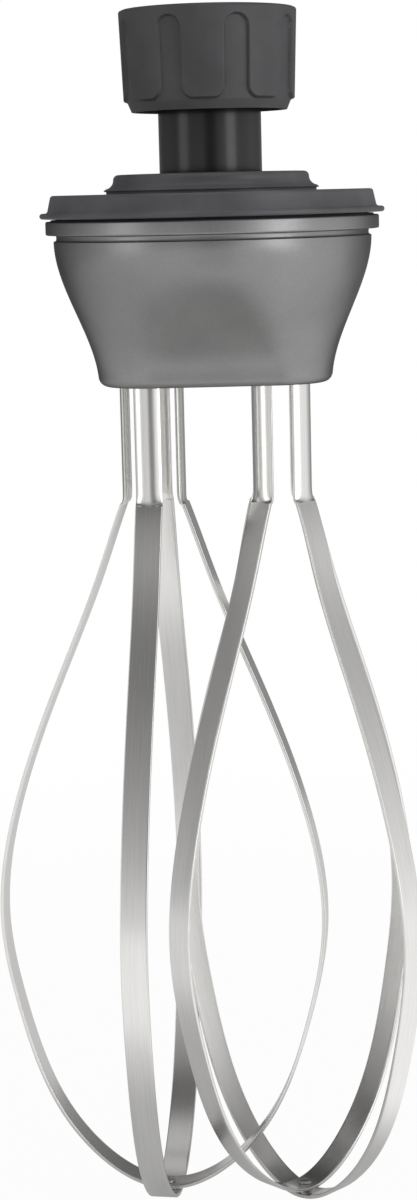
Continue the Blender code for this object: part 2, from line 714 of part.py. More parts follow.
def housing_sections():
    """Sections of the housing's shell as (stretch, radius, height), from the middle of its foot up
    the outside, over the rim and down the inside to the cavity's floor."""
    sections = []
    for turn in (0, 30, 60):
        lift, inset = 1 - math.cos(math.radians(turn)), 1 - math.sin(math.radians(turn))
        height = BODY_FOOT + BODY_FOOT_ROUND * lift
        stretch, radius = body_section(height)
        sections.append((stretch, radius - BODY_FOOT_ROUND * inset, height))
    for share in np.linspace(BODY_FOOT_ROUND / BODY_HEIGHT, 1.0, 8):
        height = BODY_FOOT + BODY_HEIGHT * float(share)
        sections.append((*body_section(height), height))
    groove = BODY_TOP_RADIUS - BAND_GROOVE_DEPTH
    for radius, height in (
        (groove, BODY_TOP + BAND_GROOVE_DEPTH / 2),
        (groove, BAND_FOOT),
        (BAND_RADIUS - BAND_EDGE, BAND_FOOT),
        (BAND_RADIUS, BAND_FOOT + BAND_EDGE),
        (BAND_RADIUS, RIM_TOP),
        (BAND_RADIUS - RIM_WIDTH, RIM_TOP),
        (BAND_RADIUS - RIM_WIDTH, RIM_TOP - BAND_GAP),
        (BODY_TOP_RADIUS - UPPER_WALL, RIM_TOP - BAND_GAP),
    ):
        sections.append((0.0, radius, height))
    inner = [(BODY_TOP, UPPER_WALL), (LEDGE, UPPER_WALL), (LEDGE, LOWER_WALL)]
    inner += [((LEDGE + CAVITY_FLOOR) / 2, LOWER_WALL), (CAVITY_FLOOR, LOWER_WALL)]
    for height, wall in inner:
        stretch, radius = body_section(height)
        sections.append((stretch, radius - wall, height))
    return sections


def make_housing():
    """The funnel-shaped gear housing: a lofted shell, round above and oval below, with bosses for
    the output bushes, the layshaft pin and the screws, and two round pockets for the hubs."""
    sections = housing_sections()
    vertices, faces = [], []
    for stretch, radius, height in sections:
        vertices += [(x, y, height) for x, y in stretched_circle(stretch, radius)]
    for s in range(len(sections) - 1):
        for i in range(ROUND):
            j = (i + 1) % ROUND
            faces.append([s * ROUND + i, s * ROUND + j, (s + 1) * ROUND + j, (s + 1) * ROUND + i])
    faces.append(list(range(ROUND))[::-1])
    faces.append(list(range((len(sections) - 1) * ROUND, len(sections) * ROUND)))
    look = housing_finish()
    housing = place("gear_housing", vertices, faces, look)

    # bosses start inside the floor, above the pockets
    below_floor = (CAVITY_FLOOR + POCKET_TOP + POCKET_FLOOR / 2) / 2
    pin = layshaft_place()
    pin_boss_top = OUTPUT_GEAR_FOOT - SEAT - WASHER_THICK - SEAT
    name, radius = "housing_pin_boss", PIN_BOSS_RADIUS
    join(housing, rod(name, radius, below_floor, pin_boss_top, look, at=pin, sides=SCREW_ROUND))
    hole_foot = pin_boss_top - PIN_HOLD
    pin_hole = PIN_RADIUS + SEAT
    cut(housing, rod("housing_pin_hole", pin_hole, hole_foot, pin_boss_top + OVERSHOOT, look, at=pin))
    boss_top = LIP_FOOT - SPIGOT_DEPTH - SEAT
    screw_foot = PLATE_TOP - SCREW_SINK - SCREW_HEAD - SCREW_LENGTH
    hole_low = screw_foot - SEAT
    for i, spot in enumerate(screw_places()):
        boss_foot = hole_low - SCREW_BOSS_FLOOR
        name, radius = f"housing_boss_{i}", HOUSING_BOSS_RADIUS
        join(housing, rod(name, radius, boss_foot, boss_top, look, at=spot, sides=SCREW_ROUND))
        name, radius = f"housing_hole_{i}", SCREW_RADIUS + SEAT
        hole_top = boss_top + OVERSHOOT
        cut(housing, rod(name, radius, hole_low, hole_top, look, at=spot, sides=SCREW_ROUND))
    for side, name in ((-1, "left"), (1, "right")):
        spot = (side * WHISK_OFFSET, 0.0)
        join(housing, rod(f"{name}_bush_boss", BUSH_BOSS_RADIUS, below_floor, BUSH_BOSS_TOP, look, at=spot))
        pocket, seal = HUB_RADIUS + RUN, SEAL_RADIUS + SEAT
        bush = SHAFT_RADIUS + SEAT + BUSH_WALL + SEAT
        bore = [
            (0, BODY_FOOT - OVERSHOOT),
            (pocket, BODY_FOOT - OVERSHOOT),
            (pocket, POCKET_TOP),
            (seal, POCKET_TOP),
            (seal, SEAL_TOP + SEAT),
            (bush, SEAL_TOP + SEAT),
            (bush, BUSH_BOSS_TOP + OVERSHOOT),
            (0, BUSH_BOSS_TOP + OVERSHOOT),
        ]
        cut(housing, turned(f"{name}_bore", bore, look, at=spot, sides=HUB_ROUND))
        # the wall is relieved where the output gear's teeth come near it
        reach = GEAR_REACH - WHISK_OFFSET + RUN
        low, high = OUTPUT_GEAR_FOOT - SEAT, OUTPUT_GEAR_TOP + SEAT
        cut(housing, rod(f"{name}_gear_room", reach, low, high, look, at=spot, sides=ROUND))


def make_bearing_plate():
    """A pressed steel plate on the housing's ledge, which carries the upper ends of the spindles
    and the lower end of the input shaft, and lets the layshaft's pinion through."""
    stretch, radius = body_section(BEARING_PLATE_FOOT)
    outline = stretched_circle(stretch, radius - UPPER_WALL - SEAT)
    look = steel_finish()
    plate = prism("bearing_plate", outline, BEARING_PLATE_FOOT, BEARING_PLATE_TOP, look)
    low, high = BEARING_PLATE_FOOT - OVERSHOOT, BEARING_PLATE_TOP + OVERSHOOT
    journal = JOURNAL_RADIUS + SEAT
    pinion = pitch_radius(PINION_TEETH) + ADDENDUM * MODULE + RUN
    holes = [("input", 0.0, 0.0, journal), ("pinion", *layshaft_place(), pinion)]
    holes += [("left", -WHISK_OFFSET, 0.0, journal), ("right", WHISK_OFFSET, 0.0, journal)]
    for name, x, y, radius in holes:
        cut(plate, rod(f"plate_hole_{name}", radius, low, high, look, at=(x, y)))


def shaft_profile(foot, top, journal_length, clip_top, journal_at_foot):
    """A shaft with a thinner journal at one end and a groove for a circlip."""
    groove = SHAFT_RADIUS - CIRCLIP_GROOVE
    groove_high = clip_top + SEAT / 2
    groove_low = clip_top - CIRCLIP_THICK - SEAT / 2
    cham = SHAFT_RADIUS / 10
    body_low = foot + journal_length if journal_at_foot else foot
    body_high = top if journal_at_foot else top - journal_length
    profile = [(0, foot)]
    if journal_at_foot:
        profile += [(JOURNAL_RADIUS, foot), (JOURNAL_RADIUS, body_low), (SHAFT_RADIUS, body_low)]
    else:
        profile += [(SHAFT_RADIUS - cham, foot), (SHAFT_RADIUS, foot + cham)]
    profile += [(SHAFT_RADIUS, groove_low), (groove, groove_low), (groove, groove_high)]
    profile += [(SHAFT_RADIUS, groove_high)]
    if journal_at_foot:
        profile += [(SHAFT_RADIUS, body_high - cham), (SHAFT_RADIUS - cham, body_high), (0, body_high)]
    else:
        profile += [(SHAFT_RADIUS, body_high), (JOURNAL_RADIUS, body_high), (JOURNAL_RADIUS, top), (0, top)]
    return profile


def make_circlip(name, clip_top, parent):
    inner = SHAFT_RADIUS - CIRCLIP_GROOVE + SEAT
    outer = SHAFT_RADIUS + CIRCLIP_REACH
    ring(name, inner, outer, clip_top - CIRCLIP_THICK, clip_top, spring_steel_finish(), parent)


def make_gear(name, teeth, phase, low, high, bore, parent, look):
    gear = prism(name, gear_outline(teeth, phase), low, high, look, parent)
    cut(gear, rod(f"{name}_bore", bore, low - OVERSHOOT, high + OVERSHOOT, look, parent))
    return gear


def make_input():
    """The input shaft with its drive dog, pinion and circlip, and the bearing in the cover's cup."""
    axis = axis_empty("input_axis", 0.0, 0.0)
    dog_top = -DOG_DROP
    dog_foot = dog_top - DOG_LENGTH
    shaft_top = dog_foot + DOG_HOLD - SEAT
    shaft_foot = BEARING_PLATE_FOOT + SEAT
    journal = BEARING_PLATE_TOP + SEAT / 2 - shaft_foot
    profile = shaft_profile(shaft_foot, shaft_top, journal, INPUT_CLIP_TOP, True)
    turned("input_shaft", profile, steel_finish(), axis)
    look = steel_finish()
    edge = NECK_CHAMFER / 2
    outline = [
        (0, dog_foot),
        (DOG_RADIUS, dog_foot),
        (DOG_RADIUS, dog_top - edge),
        (DOG_RADIUS - edge, dog_top),
        (0, dog_top),
    ]
    dog = turned("drive_dog", outline, look, axis, sides=HUB_ROUND)
    hexagon = regular_polygon(6, DOG_HEX_ACROSS)
    cut(dog, prism("dog_socket", hexagon, dog_top - DOG_HEX_DEPTH, dog_top + OVERSHOOT, look, axis))
    hold = SHAFT_RADIUS + SEAT
    cut(dog, rod("dog_bore", hold, dog_foot - OVERSHOOT, dog_foot + DOG_HOLD, look, axis))
    bore = SHAFT_RADIUS + SEAT
    make_gear("input_pinion", PINION_TEETH, 0.0, INPUT_PINION_FOOT, INPUT_PINION_TOP, bore, axis, look)
    make_circlip("input_circlip", INPUT_CLIP_TOP, axis)
    shield = BEARING_SHIELD
    race = (BEARING_RADIUS - SHAFT_RADIUS) / 4
    inner = SHAFT_RADIUS + SEAT
    profile = [
        (inner, BEARING_FOOT),
        (inner + race, BEARING_FOOT),
        (inner + race, BEARING_FOOT + shield),
        (BEARING_RADIUS - race, BEARING_FOOT + shield),
        (BEARING_RADIUS - race, BEARING_FOOT),
        (BEARING_RADIUS, BEARING_FOOT),
        (BEARING_RADIUS, BEARING_TOP),
        (BEARING_RADIUS - race, BEARING_TOP),
        (BEARING_RADIUS - race, BEARING_TOP - shield),
        (inner + race, BEARING_TOP - shield),
        (inner + race, BEARING_TOP),
        (inner, BEARING_TOP),
    ]
    turned("input_bearing", profile, steel_finish())


def make_layshaft():
    """The layshaft: a fixed pin, a moulded gear and pinion in one piece, and a washer at each end."""
    x, y = layshaft_place()
    axis = axis_empty("layshaft_axis", x, y)
    look = gear_finish()
    gear_phase = meshed_phase(PINION_TEETH, 0.0, LAYSHAFT_TEETH, math.atan2(y, x))
    to_layshaft = math.atan2(y, x + WHISK_OFFSET)
    pinion_phase = meshed_phase(OUTPUT_TEETH, 0.0, PINION_TEETH, to_layshaft)
    bore = PIN_RADIUS + SEAT
    outline = gear_outline(LAYSHAFT_TEETH, gear_phase)
    gear = prism("layshaft_gear", outline, LAYSHAFT_GEAR_FOOT, LAYSHAFT_GEAR_TOP, look, axis)
    inside_gear = LAYSHAFT_GEAR_FOOT + LAYSHAFT_FACE / 2
    outline = gear_outline(PINION_TEETH, pinion_phase)
    pinion = prism("layshaft_pinion", outline, OUTPUT_GEAR_FOOT, inside_gear, look, axis)
    join(gear, pinion)
    low, high = OUTPUT_GEAR_FOOT - OVERSHOOT, LAYSHAFT_GEAR_TOP + OVERSHOOT
    cut(gear, rod("layshaft_bore", bore, low, high, look, axis, sides=SCREW_ROUND))
    lower_top = OUTPUT_GEAR_FOOT - SEAT
    upper_foot = LAYSHAFT_GEAR_TOP + SEAT
    steel = steel_finish()
    outer = PIN_BOSS_RADIUS
    ring("layshaft_washer_lower", bore, outer, lower_top - WASHER_THICK, lower_top, steel, at=(x, y))
    ring("layshaft_washer_upper", bore, outer, upper_foot, upper_foot + WASHER_THICK, steel, at=(x, y))
    pin_foot = lower_top - WASHER_THICK - SEAT - PIN_HOLD + SEAT
    pin_top = upper_foot + WASHER_THICK + SEAT + PIN_HOLD - SEAT
    rod("layshaft_pin", PIN_RADIUS, pin_foot, pin_top, steel, at=(x, y), sides=SCREW_ROUND)


def smooth_curve(points, start, end, count):
    """A smooth curve through points with given directions at its ends: cubic pieces whose slopes
    are solved so that the bend carries on from one piece to the next."""
    points = np.array(points, float)
    gaps = np.linalg.norm(np.diff(points, axis=0), axis=1)
    knots = np.concatenate(([0.0], np.cumsum(gaps)))
    size = len(points)
    matrix, target = np.zeros((size, size)), np.zeros((size, 2))
    matrix[0, 0] = matrix[-1, -1] = 1.0
    target[0], target[-1] = start, end
    for i in range(1, size - 1):
        before, after = gaps[i - 1], gaps[i]
        matrix[i, i - 1 : i + 2] = after, 2 * (before + after), before
        rise_before = (points[i] - points[i - 1]) / before
        rise_after = (points[i + 1] - points[i]) / after
        target[i] = 3 * (after * rise_before + before * rise_after)
    slopes = np.linalg.solve(matrix, target)
    along = knots[-1] * (1 - (1 - np.linspace(0.0, 1.0, count)) ** LOOP_BUNCHING)
    piece = np.clip(np.searchsorted(knots, along, side="right") - 1, 0, size - 2)
    length = gaps[piece][:, None]
    t = ((along - knots[piece]) / gaps[piece])[:, None]
    from_start = (2 * t**3 - 3 * t**2 + 1) * points[piece] + (t**3 - 2 * t**2 + t) * length * slopes[piece]
    from_end = (3 * t**2 - 2 * t**3) * points[piece + 1] + (t**3 - t**2) * length * slopes[piece + 1]
    return from_start + from_end


def half_loop(reach, drop):
    """One side of a loop in its own plane, from the leg's top to the lowest point: rows of radius,
    height and how far the strip is rolled there, from 1 on the leg to 0 on the flat strip."""
    depth = LOOP_DEPTH + drop
    direction = np.array([math.sin(KINK_ANGLE), -math.cos(KINK_ANGLE)])
    kink_out = KINK_LENGTH * math.tan(KINK_ANGLE) * KINK_OUT
    leg_heights = np.linspace(STRIP_TOP, KINK + KINK_LENGTH, LEG_STEPS + 1)
    leg = [(LEG_RADIUS, float(z), 1.0) for z in leg_heights]
    bend = []
    for share in np.linspace(0, 1, KINK_STEPS + 2)[1:-1]:
        # the roll dies away along the kink like the round end of a bead
        rolled = math.sqrt(1 - min(1.0, float(share) / ROLL_END) ** 2)
        out = kink_out * float(share) ** 2
        bend.append((LEG_RADIUS + out, KINK + KINK_LENGTH * (1 - float(share)), rolled))
    start = (LEG_RADIUS + kink_out, KINK)
    stations = [start] + [(share * reach, KINK - depth * down) for down, share in LOOP_SHAPE]
    stations.append((0.0, KINK - depth))
    flat = smooth_curve(stations, direction, (-1.0, 0.0), LOOP_STEPS + 1)
    return np.array(leg + bend + [(r, z, 0.0) for r, z in flat])


def strip_section(rolled, width_extra=0.0, thick_extra=0.0):
    """The strip's section as (across, outwards) pairs round its edge: flat, or rolled into a
    shallow channel whose crown faces outwards."""
    width = STRIP_WIDTH + (CHANNEL_WIDTH - STRIP_WIDTH) * rolled + width_extra
    crown = CHANNEL_CROWN * rolled
    half_thick = (STRIP_THICK + thick_extra) / 2
    across = np.linspace(-0.5, 0.5, STRIP_COLUMNS + 1)
    outer, inner = [], []
    for share in across:
        sink = -crown * (2 * share) ** 2
        lean = math.atan2(-8 * crown * share, width)
        shift = (math.sin(lean) * half_thick, math.cos(lean) * half_thick)
        outer.append((share * width - shift[0], sink + shift[1]))
        inner.append((share * width + shift[0], sink - shift[1]))
    return outer + inner[::-1]


def make_loop(name, reach, drop, azimuth, splay, parent):
    """One loop of strip: two rolled legs that open into one flat strip, bent down, round the
    bottom and up again. The strips lean outwards by the splay, which grows from the kink down."""
    half = half_loop(reach, drop)
    path = np.vstack([half, (half[:-1] * (-1, 1, 1))[::-1]])
    run = np.gradient(path[:, :2], axis=0)
    run /= np.linalg.norm(run, axis=1)[:, None]
    leg_rows = LEG_STEPS + 1
    run[:leg_rows] = (0.0, -1.0)
    run[-leg_rows:] = (0.0, 1.0)
    normal = np.stack([-run[:, 1], run[:, 0]], axis=1)
    spread = np.array([math.cos(azimuth), math.sin(azimuth), 0.0])
    side = np.array([-math.sin(azimuth), math.cos(azimuth), 0.0])
    up = np.array([0.0, 0.0, 1.0])
    vertices = []
    for (radius, height, rolled), (n_radius, n_height) in zip(path, normal):
        for across, outwards in strip_section(rolled):
            point = (radius + outwards * n_radius) * spread + (height + outwards * n_height) * up
            point = point + across * side
            point[0] += splay * max(0.0, KINK - point[2]) / LOOP_DEPTH
            vertices.append(point)
    rows, columns = len(path), 2 * (STRIP_COLUMNS + 1)
    faces = [list(range(columns))[::-1], list(range((rows - 1) * columns, rows * columns))]
    for r in range(rows - 1):
        for c in range(columns):
            d = (c + 1) % columns
            faces.append([r * columns + c, r * columns + d, (r + 1) * columns + d, (r + 1) * columns + c])
    loop = place(name, vertices, faces, strip_finish(), parent)
    middle = KINK - LOOP_DEPTH - drop
    bottom = splay * (KINK - middle) / LOOP_DEPTH
    low, high = middle - 2 * STRIP_THICK, middle + 2 * STRIP_THICK
    spot = (bottom, 0.0)
    radius, look = RIVET_RADIUS + SEAT, strip_finish()
    cut(loop, rod(f"{name}_hole", radius, low, high, look, parent, at=spot, sides=SCREW_ROUND))


def make_rivet(name, drop, splay, parent):
    """The shouldered rivet that ties the two loops where they cross."""
    upper = KINK - LOOP_DEPTH - drop
    lower = upper - NARROW_DROP
    half = STRIP_THICK / 2 + SEAT
    top, foot = upper + half, lower - half
    profile = [
        (0, foot - RIVET_HEAD),
        (RIVET_HEAD_RADIUS * RIVET_CROWN, foot - RIVET_HEAD),
        (RIVET_HEAD_RADIUS, foot - RIVET_HEAD / 2),
        (RIVET_HEAD_RADIUS, foot),
        (RIVET_RADIUS, foot),
        (RIVET_RADIUS, lower + half),
        (RIVET_SHOULDER_RADIUS, lower + half),
        (RIVET_SHOULDER_RADIUS, upper - half),
        (RIVET_RADIUS, upper - half),
        (RIVET_RADIUS, top),
        (RIVET_HEAD_RADIUS, top),
        (RIVET_HEAD_RADIUS, top + RIVET_HEAD / 2),
        (RIVET_HEAD_RADIUS * RIVET_CROWN, top + RIVET_HEAD),
        (0, top + RIVET_HEAD),
    ]
    out = splay * (1 + (drop + NARROW_DROP / 2) / LOOP_DEPTH)
    turned(name, profile, steel_finish(), parent, at=(out, 0.0), sides=SCREW_ROUND)


def make_hub(name, turn, parent):
    """A moulded hub on the spindle, with four curved slots that hold the legs of the loops."""
    edge = RUN
    profile = [
        (0, HUB_FOOT),
        (HUB_RADIUS - edge, HUB_FOOT),
        (HUB_RADIUS, HUB_FOOT + edge),
        (HUB_RADIUS, HUB_TOP),
        (0, HUB_TOP),
    ]
    look = hub_finish()
    hub = turned(name, profile, look, parent, sides=HUB_ROUND)
    bore_foot = HUB_FOOT + HUB_SKIN
    cut(hub, rod(f"{name}_bore", SHAFT_RADIUS + SEAT, bore_foot, HUB_TOP + OVERSHOOT, look, parent))
    section = strip_section(1.0, 2 * SEAT, 2 * SEAT)
    for leg in range(4):
        angle = turn + leg * math.pi / 2
        cosine, sine = math.cos(angle), math.sin(angle)
        outline = []
        for across, outwards in section:
            radial = LEG_RADIUS + outwards
            outline.append((radial * cosine - across * sine, radial * sine + across * cosine))
        low, high = HUB_FOOT - OVERSHOOT, HUB_FOOT + SLOT_DEPTH
        cut(hub, prism(f"{name}_slot_{leg}", outline, low, high, look, parent))


def make_whisk(side_name, side, turn, splay, drop, gear_phase):
    """One whisk: spindle, output gear, circlip, hub, two crossed loops and their rivet, on one
    axis, with the bush and the seal that the spindle runs in."""
    x = side * WHISK_OFFSET
    axis = axis_empty(f"{side_name}_whisk_axis", x, 0.0)
    top = BEARING_PLATE_TOP
    foot = HUB_FOOT + HUB_SKIN + SEAT
    journal = top - BEARING_PLATE_FOOT + SEAT / 2
    profile = shaft_profile(foot, top, journal, OUTPUT_CLIP_TOP, False)
    turned(f"{side_name}_spindle", profile, steel_finish(), axis)
    bore = SHAFT_RADIUS + SEAT
    name = f"{side_name}_output_gear"
    make_gear(name, OUTPUT_TEETH, gear_phase, OUTPUT_GEAR_FOOT, OUTPUT_GEAR_TOP, bore, axis, gear_finish())
    make_circlip(f"{side_name}_circlip", OUTPUT_CLIP_TOP, axis)
    make_hub(f"{side_name}_hub", turn, axis)
    lean = side * splay
    quarter = turn + math.pi / 2
    make_loop(f"{side_name}_wide_loop", WIDE_REACH, drop, turn, lean, axis)
    make_loop(f"{side_name}_narrow_loop", NARROW_REACH, drop + NARROW_DROP, quarter, lean, axis)
    make_rivet(f"{side_name}_rivet", drop, lean, axis)
    spot = (x, 0.0)
    ring(f"{side_name}_output_bush", bore, bore + BUSH_WALL, BUSH_FOOT, BUSH_TOP, bronze_finish(), at=spot)
    low = SEAL_TOP - SEAL_THICK
    ring(f"{side_name}_output_seal", bore, SEAL_RADIUS, low, SEAL_TOP, rubber_finish(), at=spot)


def make_whisks():
    make_whisk("left", -1, LEFT_TURN, LEFT_SPLAY, 0.0, 0.0)
    phase = meshed_phase(OUTPUT_TEETH, 0.0, OUTPUT_TEETH, 0.0)
    make_whisk("right", 1, RIGHT_TURN, RIGHT_SPLAY, RIGHT_DROP, phase)


clear_scene()
make_nut()
make_neck()
make_cover()
make_screws()
make_gasket()
make_housing()
make_bearing_plate()
make_input()
make_layshaft()
make_whisks()
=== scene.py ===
"""Looks for the twin whisk attachment: finishes, smooth visible shells and a plain studio.

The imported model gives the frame. What is seen from outside is modelled again here as fine surfaces in
the same places, and what lies inside the gearbox keeps its solids and gets a finish.
"""

import json
import math

import bmesh
import bpy
import numpy as np
from mathutils import Matrix, Vector


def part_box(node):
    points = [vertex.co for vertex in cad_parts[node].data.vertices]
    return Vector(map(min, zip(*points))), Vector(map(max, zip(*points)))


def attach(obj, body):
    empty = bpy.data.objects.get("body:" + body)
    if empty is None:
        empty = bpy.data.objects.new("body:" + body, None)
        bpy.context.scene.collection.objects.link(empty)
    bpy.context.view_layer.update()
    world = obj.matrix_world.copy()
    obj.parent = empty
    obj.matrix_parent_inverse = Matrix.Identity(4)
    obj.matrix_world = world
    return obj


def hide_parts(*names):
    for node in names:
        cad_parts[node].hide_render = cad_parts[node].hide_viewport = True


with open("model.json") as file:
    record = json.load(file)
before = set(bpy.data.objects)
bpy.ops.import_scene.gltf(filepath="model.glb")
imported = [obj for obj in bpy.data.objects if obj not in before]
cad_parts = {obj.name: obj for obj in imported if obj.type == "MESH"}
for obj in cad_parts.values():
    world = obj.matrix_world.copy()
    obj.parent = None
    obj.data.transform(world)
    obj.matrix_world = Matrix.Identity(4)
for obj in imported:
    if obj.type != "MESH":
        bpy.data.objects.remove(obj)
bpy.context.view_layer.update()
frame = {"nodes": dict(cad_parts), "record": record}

MM = 0.001

# Places read from the frame
NUT_LOW, NUT_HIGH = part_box("coupling_nut")
NECK_LOW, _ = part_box("neck_tube")
_, COVER_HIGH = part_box("top_cover")
HOUSING_LOW, HOUSING_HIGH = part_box("gear_housing")
HUB_LOW, HUB_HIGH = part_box("right_hub")
DOG_LOW, DOG_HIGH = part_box("drive_dog")
SCREW_LOW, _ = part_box("cover_screw_1")
WHISK_OFFSET = (HUB_LOW.x + HUB_HIGH.x) / 2

# Coupling nut
NUT_TOP_RADIUS = 25.3 * MM
NUT_FOOT_RADIUS = 24.3 * MM
NUT_BORE = 21.0 * MM
NUT_HOLE = 15.3 * MM
NUT_WEB_TOP = -2.8 * MM
NUT_WEB = 3.0 * MM
NUT_GRIPS = 8
NUT_GROOVE_HALF = 3.8 * MM
NUT_GROOVE_DEPTH = 1.1 * MM
NUT_GROOVE_TOP = 2.6 * MM  # from the rim down to the arch
NUT_FINGER_FOOT = 3.1 * MM
NUT_FINGER_CORNER = 3.2 * MM  # radius of a finger's lower corners
NUT_WALL_RUN = 0.55 * MM  # width of a groove's sloping wall
NUT_GROOVE_TURN = math.radians(-71.3)
NUT_EDGE = 0.9 * MM
NUT_FOOT_CHAMFER = 1.0 * MM
NUT_FOOT_CHAMFER_HEIGHT = 2.6 * MM
THREAD_PITCH = 3.0 * MM
THREAD_DEPTH = 0.9 * MM
THREAD_SHARPNESS = 1.5  # power of the thread's rounded saw

# Neck tube
NECK_RADIUS = 14.7 * MM
NECK_BORE = 9.0 * MM
NECK_BORE_DEPTH = 24.0 * MM
NECK_LOWER_BORE = 6.5 * MM
NECK_FLANGE_RADIUS = 17.8 * MM
NECK_FLANGE = 2.5 * MM
NECK_CHAMFER = 0.8 * MM
NECK_EDGE = 0.3 * MM
RING_THICK = 0.9 * MM  # of the ring that keeps the nut on the neck
RING_GROOVE_DEPTH = 0.8 * MM

# Cover
COLLAR_RADIUS = 28.1 * MM
COLLAR_FLARE_RADIUS = 30.9 * MM
COLLAR_HEIGHT = 4.7 * MM
COLLAR_ROUND = 1.5 * MM
SHADOW_STEP = 0.7 * MM
PLATE_RADIUS = 46.4 * MM
PLATE_FLARE_RADIUS = 47.4 * MM
PLATE_HEIGHT = 5.0 * MM
PLATE_ROUND = 1.0 * MM
LIP_RADIUS = 49.5 * MM
LIP_THICK = 1.6 * MM
PLATE_FOOT_ROUND = 0.5 * MM  # height of the plate's run-out on to the lip
COVER_PLUG_INSET = 2.3 * MM  # from the funnel's top radius in to the plug that fills its mouth
COVER_PLUG_DEPTH = 1.8 * MM
FLARE_STEPS = 12
SCREW_CIRCLE = 38.8 * MM
SCREW_TURN = math.radians(45)
SCREW_HEAD_RADIUS = 3.0 * MM
SCREW_HEAD = 1.8 * MM
SCREW_SINK = 0.5 * MM
SCREW_RADIUS = 1.4 * MM
SCREW_TIP = 0.7 * MM
SCREW_EDGE = 0.35 * MM
SCREW_DRIVE_ACROSS = 2.5 * MM
SCREW_DRIVE_DEPTH = 1.1 * MM
SEAT = 0.3 * MM

# Housing
BAND_RADIUS = 47.9 * MM
BAND_HEIGHT = 3.9 * MM
BAND_EDGE = 0.6 * MM
BAND_GROOVE = 1.3 * MM
BAND_GROOVE_DEPTH = 0.8 * MM
BODY_TOP_RADIUS = 45.7 * MM
BODY_HEIGHT = 41.8 * MM
BODY_FOOT_HALF_WIDTH = 33.9 * MM
BODY_FOOT_HALF_DEPTH = 16.0 * MM
BODY_FOOT_ROUND = 2.6 * MM
POCKET_RADIUS = 11.5 * MM
POCKET_DEPTH = 12.0 * MM
CAVITY_FLOOR = 22.0 * MM  # from the body's foot up to the hollow inside
CAVITY_FLOOR_RADIUS = 10.0 * MM
CAVITY_WAIST_RADIUS = 39.0 * MM
CAVITY_WAIST_DROP = 12.0 * MM
CAVITY_WALL = 2.0 * MM

# Hubs and drive dog
HUB_RADIUS = 11.0 * MM
HUB_EDGE = 0.7 * MM
SLOT_DEPTH = 9.0 * MM
DOG_RADIUS = 7.2 * MM
DOG_HEX_ACROSS = 9.0 * MM
DOG_HEX_DEPTH = 7.0 * MM
DOG_BORE_DEPTH = 3.2 * MM
DOG_EDGE = 0.4 * MM
SHAFT_HOLE = 4.3 * MM

# Whisk loops
STRIP_WIDTH = 7.9 * MM
STRIP_THICK = 1.1 * MM
STRIP_EDGE = 0.28 * MM  # radius of the strip's worn edges
CHANNEL_BEND = math.radians(70)  # how far the upper legs are bent across
LEG_RADIUS = 8.8 * MM
KINK_DROP = 35.2 * MM
KINK_LENGTH = 5.0 * MM
KINK_ANGLE = 0.364
WIDE_REACH = 49.1 * MM
NARROW_REACH = 46.0 * MM
LOOP_DEPTH = 210.4 * MM
NARROW_DROP = 2.3 * MM
LOOP_SHAPE = (
    # share of the loop's depth, share of its reach
    (0.10, 0.344),
    (0.25, 0.609),
    (0.42, 0.878),
    (0.60, 1.000),
    (0.74, 0.898),
    (0.86, 0.721),
    (0.95, 0.444),
)
RIVET_RADIUS = 1.0 * MM
RIVET_HEAD_RADIUS = 2.1 * MM
RIVET_HEAD = 0.8 * MM
RIVET_SHOULDER_RADIUS = 1.9 * MM
RIVET_EDGE = 0.35 * MM
LEFT_TURN = math.radians(-9.4)
RIGHT_TURN = math.radians(45.0)
LEFT_SPLAY = 1.5 * MM
RIGHT_SPLAY = 2.8 * MM
RIGHT_DROP = 1.5 * MM

# Heights that follow
COLLAR_TOP = COVER_HIGH.z
PLATE_TOP = COLLAR_TOP - COLLAR_HEIGHT - SHADOW_STEP
LIP_TOP = PLATE_TOP - PLATE_HEIGHT
LIP_FOOT = LIP_TOP - LIP_THICK
RIM_TOP = HOUSING_HIGH.z
BAND_FOOT = RIM_TOP - BAND_HEIGHT
BODY_TOP = BAND_FOOT - BAND_GROOVE - BAND_EDGE
BODY_FOOT = HOUSING_LOW.z
POCKET_TOP = BODY_FOOT + POCKET_DEPTH
HUB_FOOT = HUB_LOW.z
KINK = BODY_FOOT - KINK_DROP
STRIP_TOP = HUB_FOOT + SLOT_DEPTH - SEAT
SCREW_SEAT = PLATE_TOP - SCREW_SINK - SCREW_HEAD

# Fineness of the surfaces
AROUND = 160
SMALL_AROUND = 64
NUT_AROUND = 640
NUT_ROWS = 98
THREAD_ROWS = 50
BODY_ROWS = 70
LOOP_ROWS = 260
LEG_ROWS = 26
KINK_ROWS = 22
STRIP_ACROSS = 18


def surface(name, points, look, wrap_rows=False, cap_ends=False, strip_map=None):
    """A closed skin over a grid of points, rows by columns, whose columns always wrap round. Rows
    wrap too when asked. Otherwise a row that has shrunk to one place is welded to a pole there, or
    a flat face closes each end."""
    rows, columns = points.shape[:2]
    index = np.arange(rows * columns).reshape(rows, columns)
    next_row = np.roll(index, -1, axis=0) if wrap_rows else index[1:]
    here = index if wrap_rows else index[:-1]
    quads = np.stack([here, np.roll(here, -1, axis=1), np.roll(next_row, -1, axis=1), next_row], axis=-1)
    faces = quads.reshape(-1, 4).tolist()
    if cap_ends:
        faces += [index[0][::-1].tolist(), index[-1].tolist()]
    mesh = bpy.data.meshes.new(name)
    mesh.from_pydata(points.reshape(-1, 3), [], faces)
    if strip_map is not None:
        layer = mesh.uv_layers.new(name="Strip")
        corners = np.empty(len(mesh.loops), np.int32)
        mesh.loops.foreach_get("vertex_index", corners)
        layer.uv.foreach_set("vector", strip_map.reshape(-1, 2)[corners].astype(np.float32).ravel())
    weld(mesh)
    mesh.materials.append(look)
    mesh.shade_smooth()
    mesh.set_sharp_from_angle(angle=math.radians(38))
    piece = bpy.data.objects.new(name, mesh)
    bpy.context.scene.collection.objects.link(piece)
    return piece


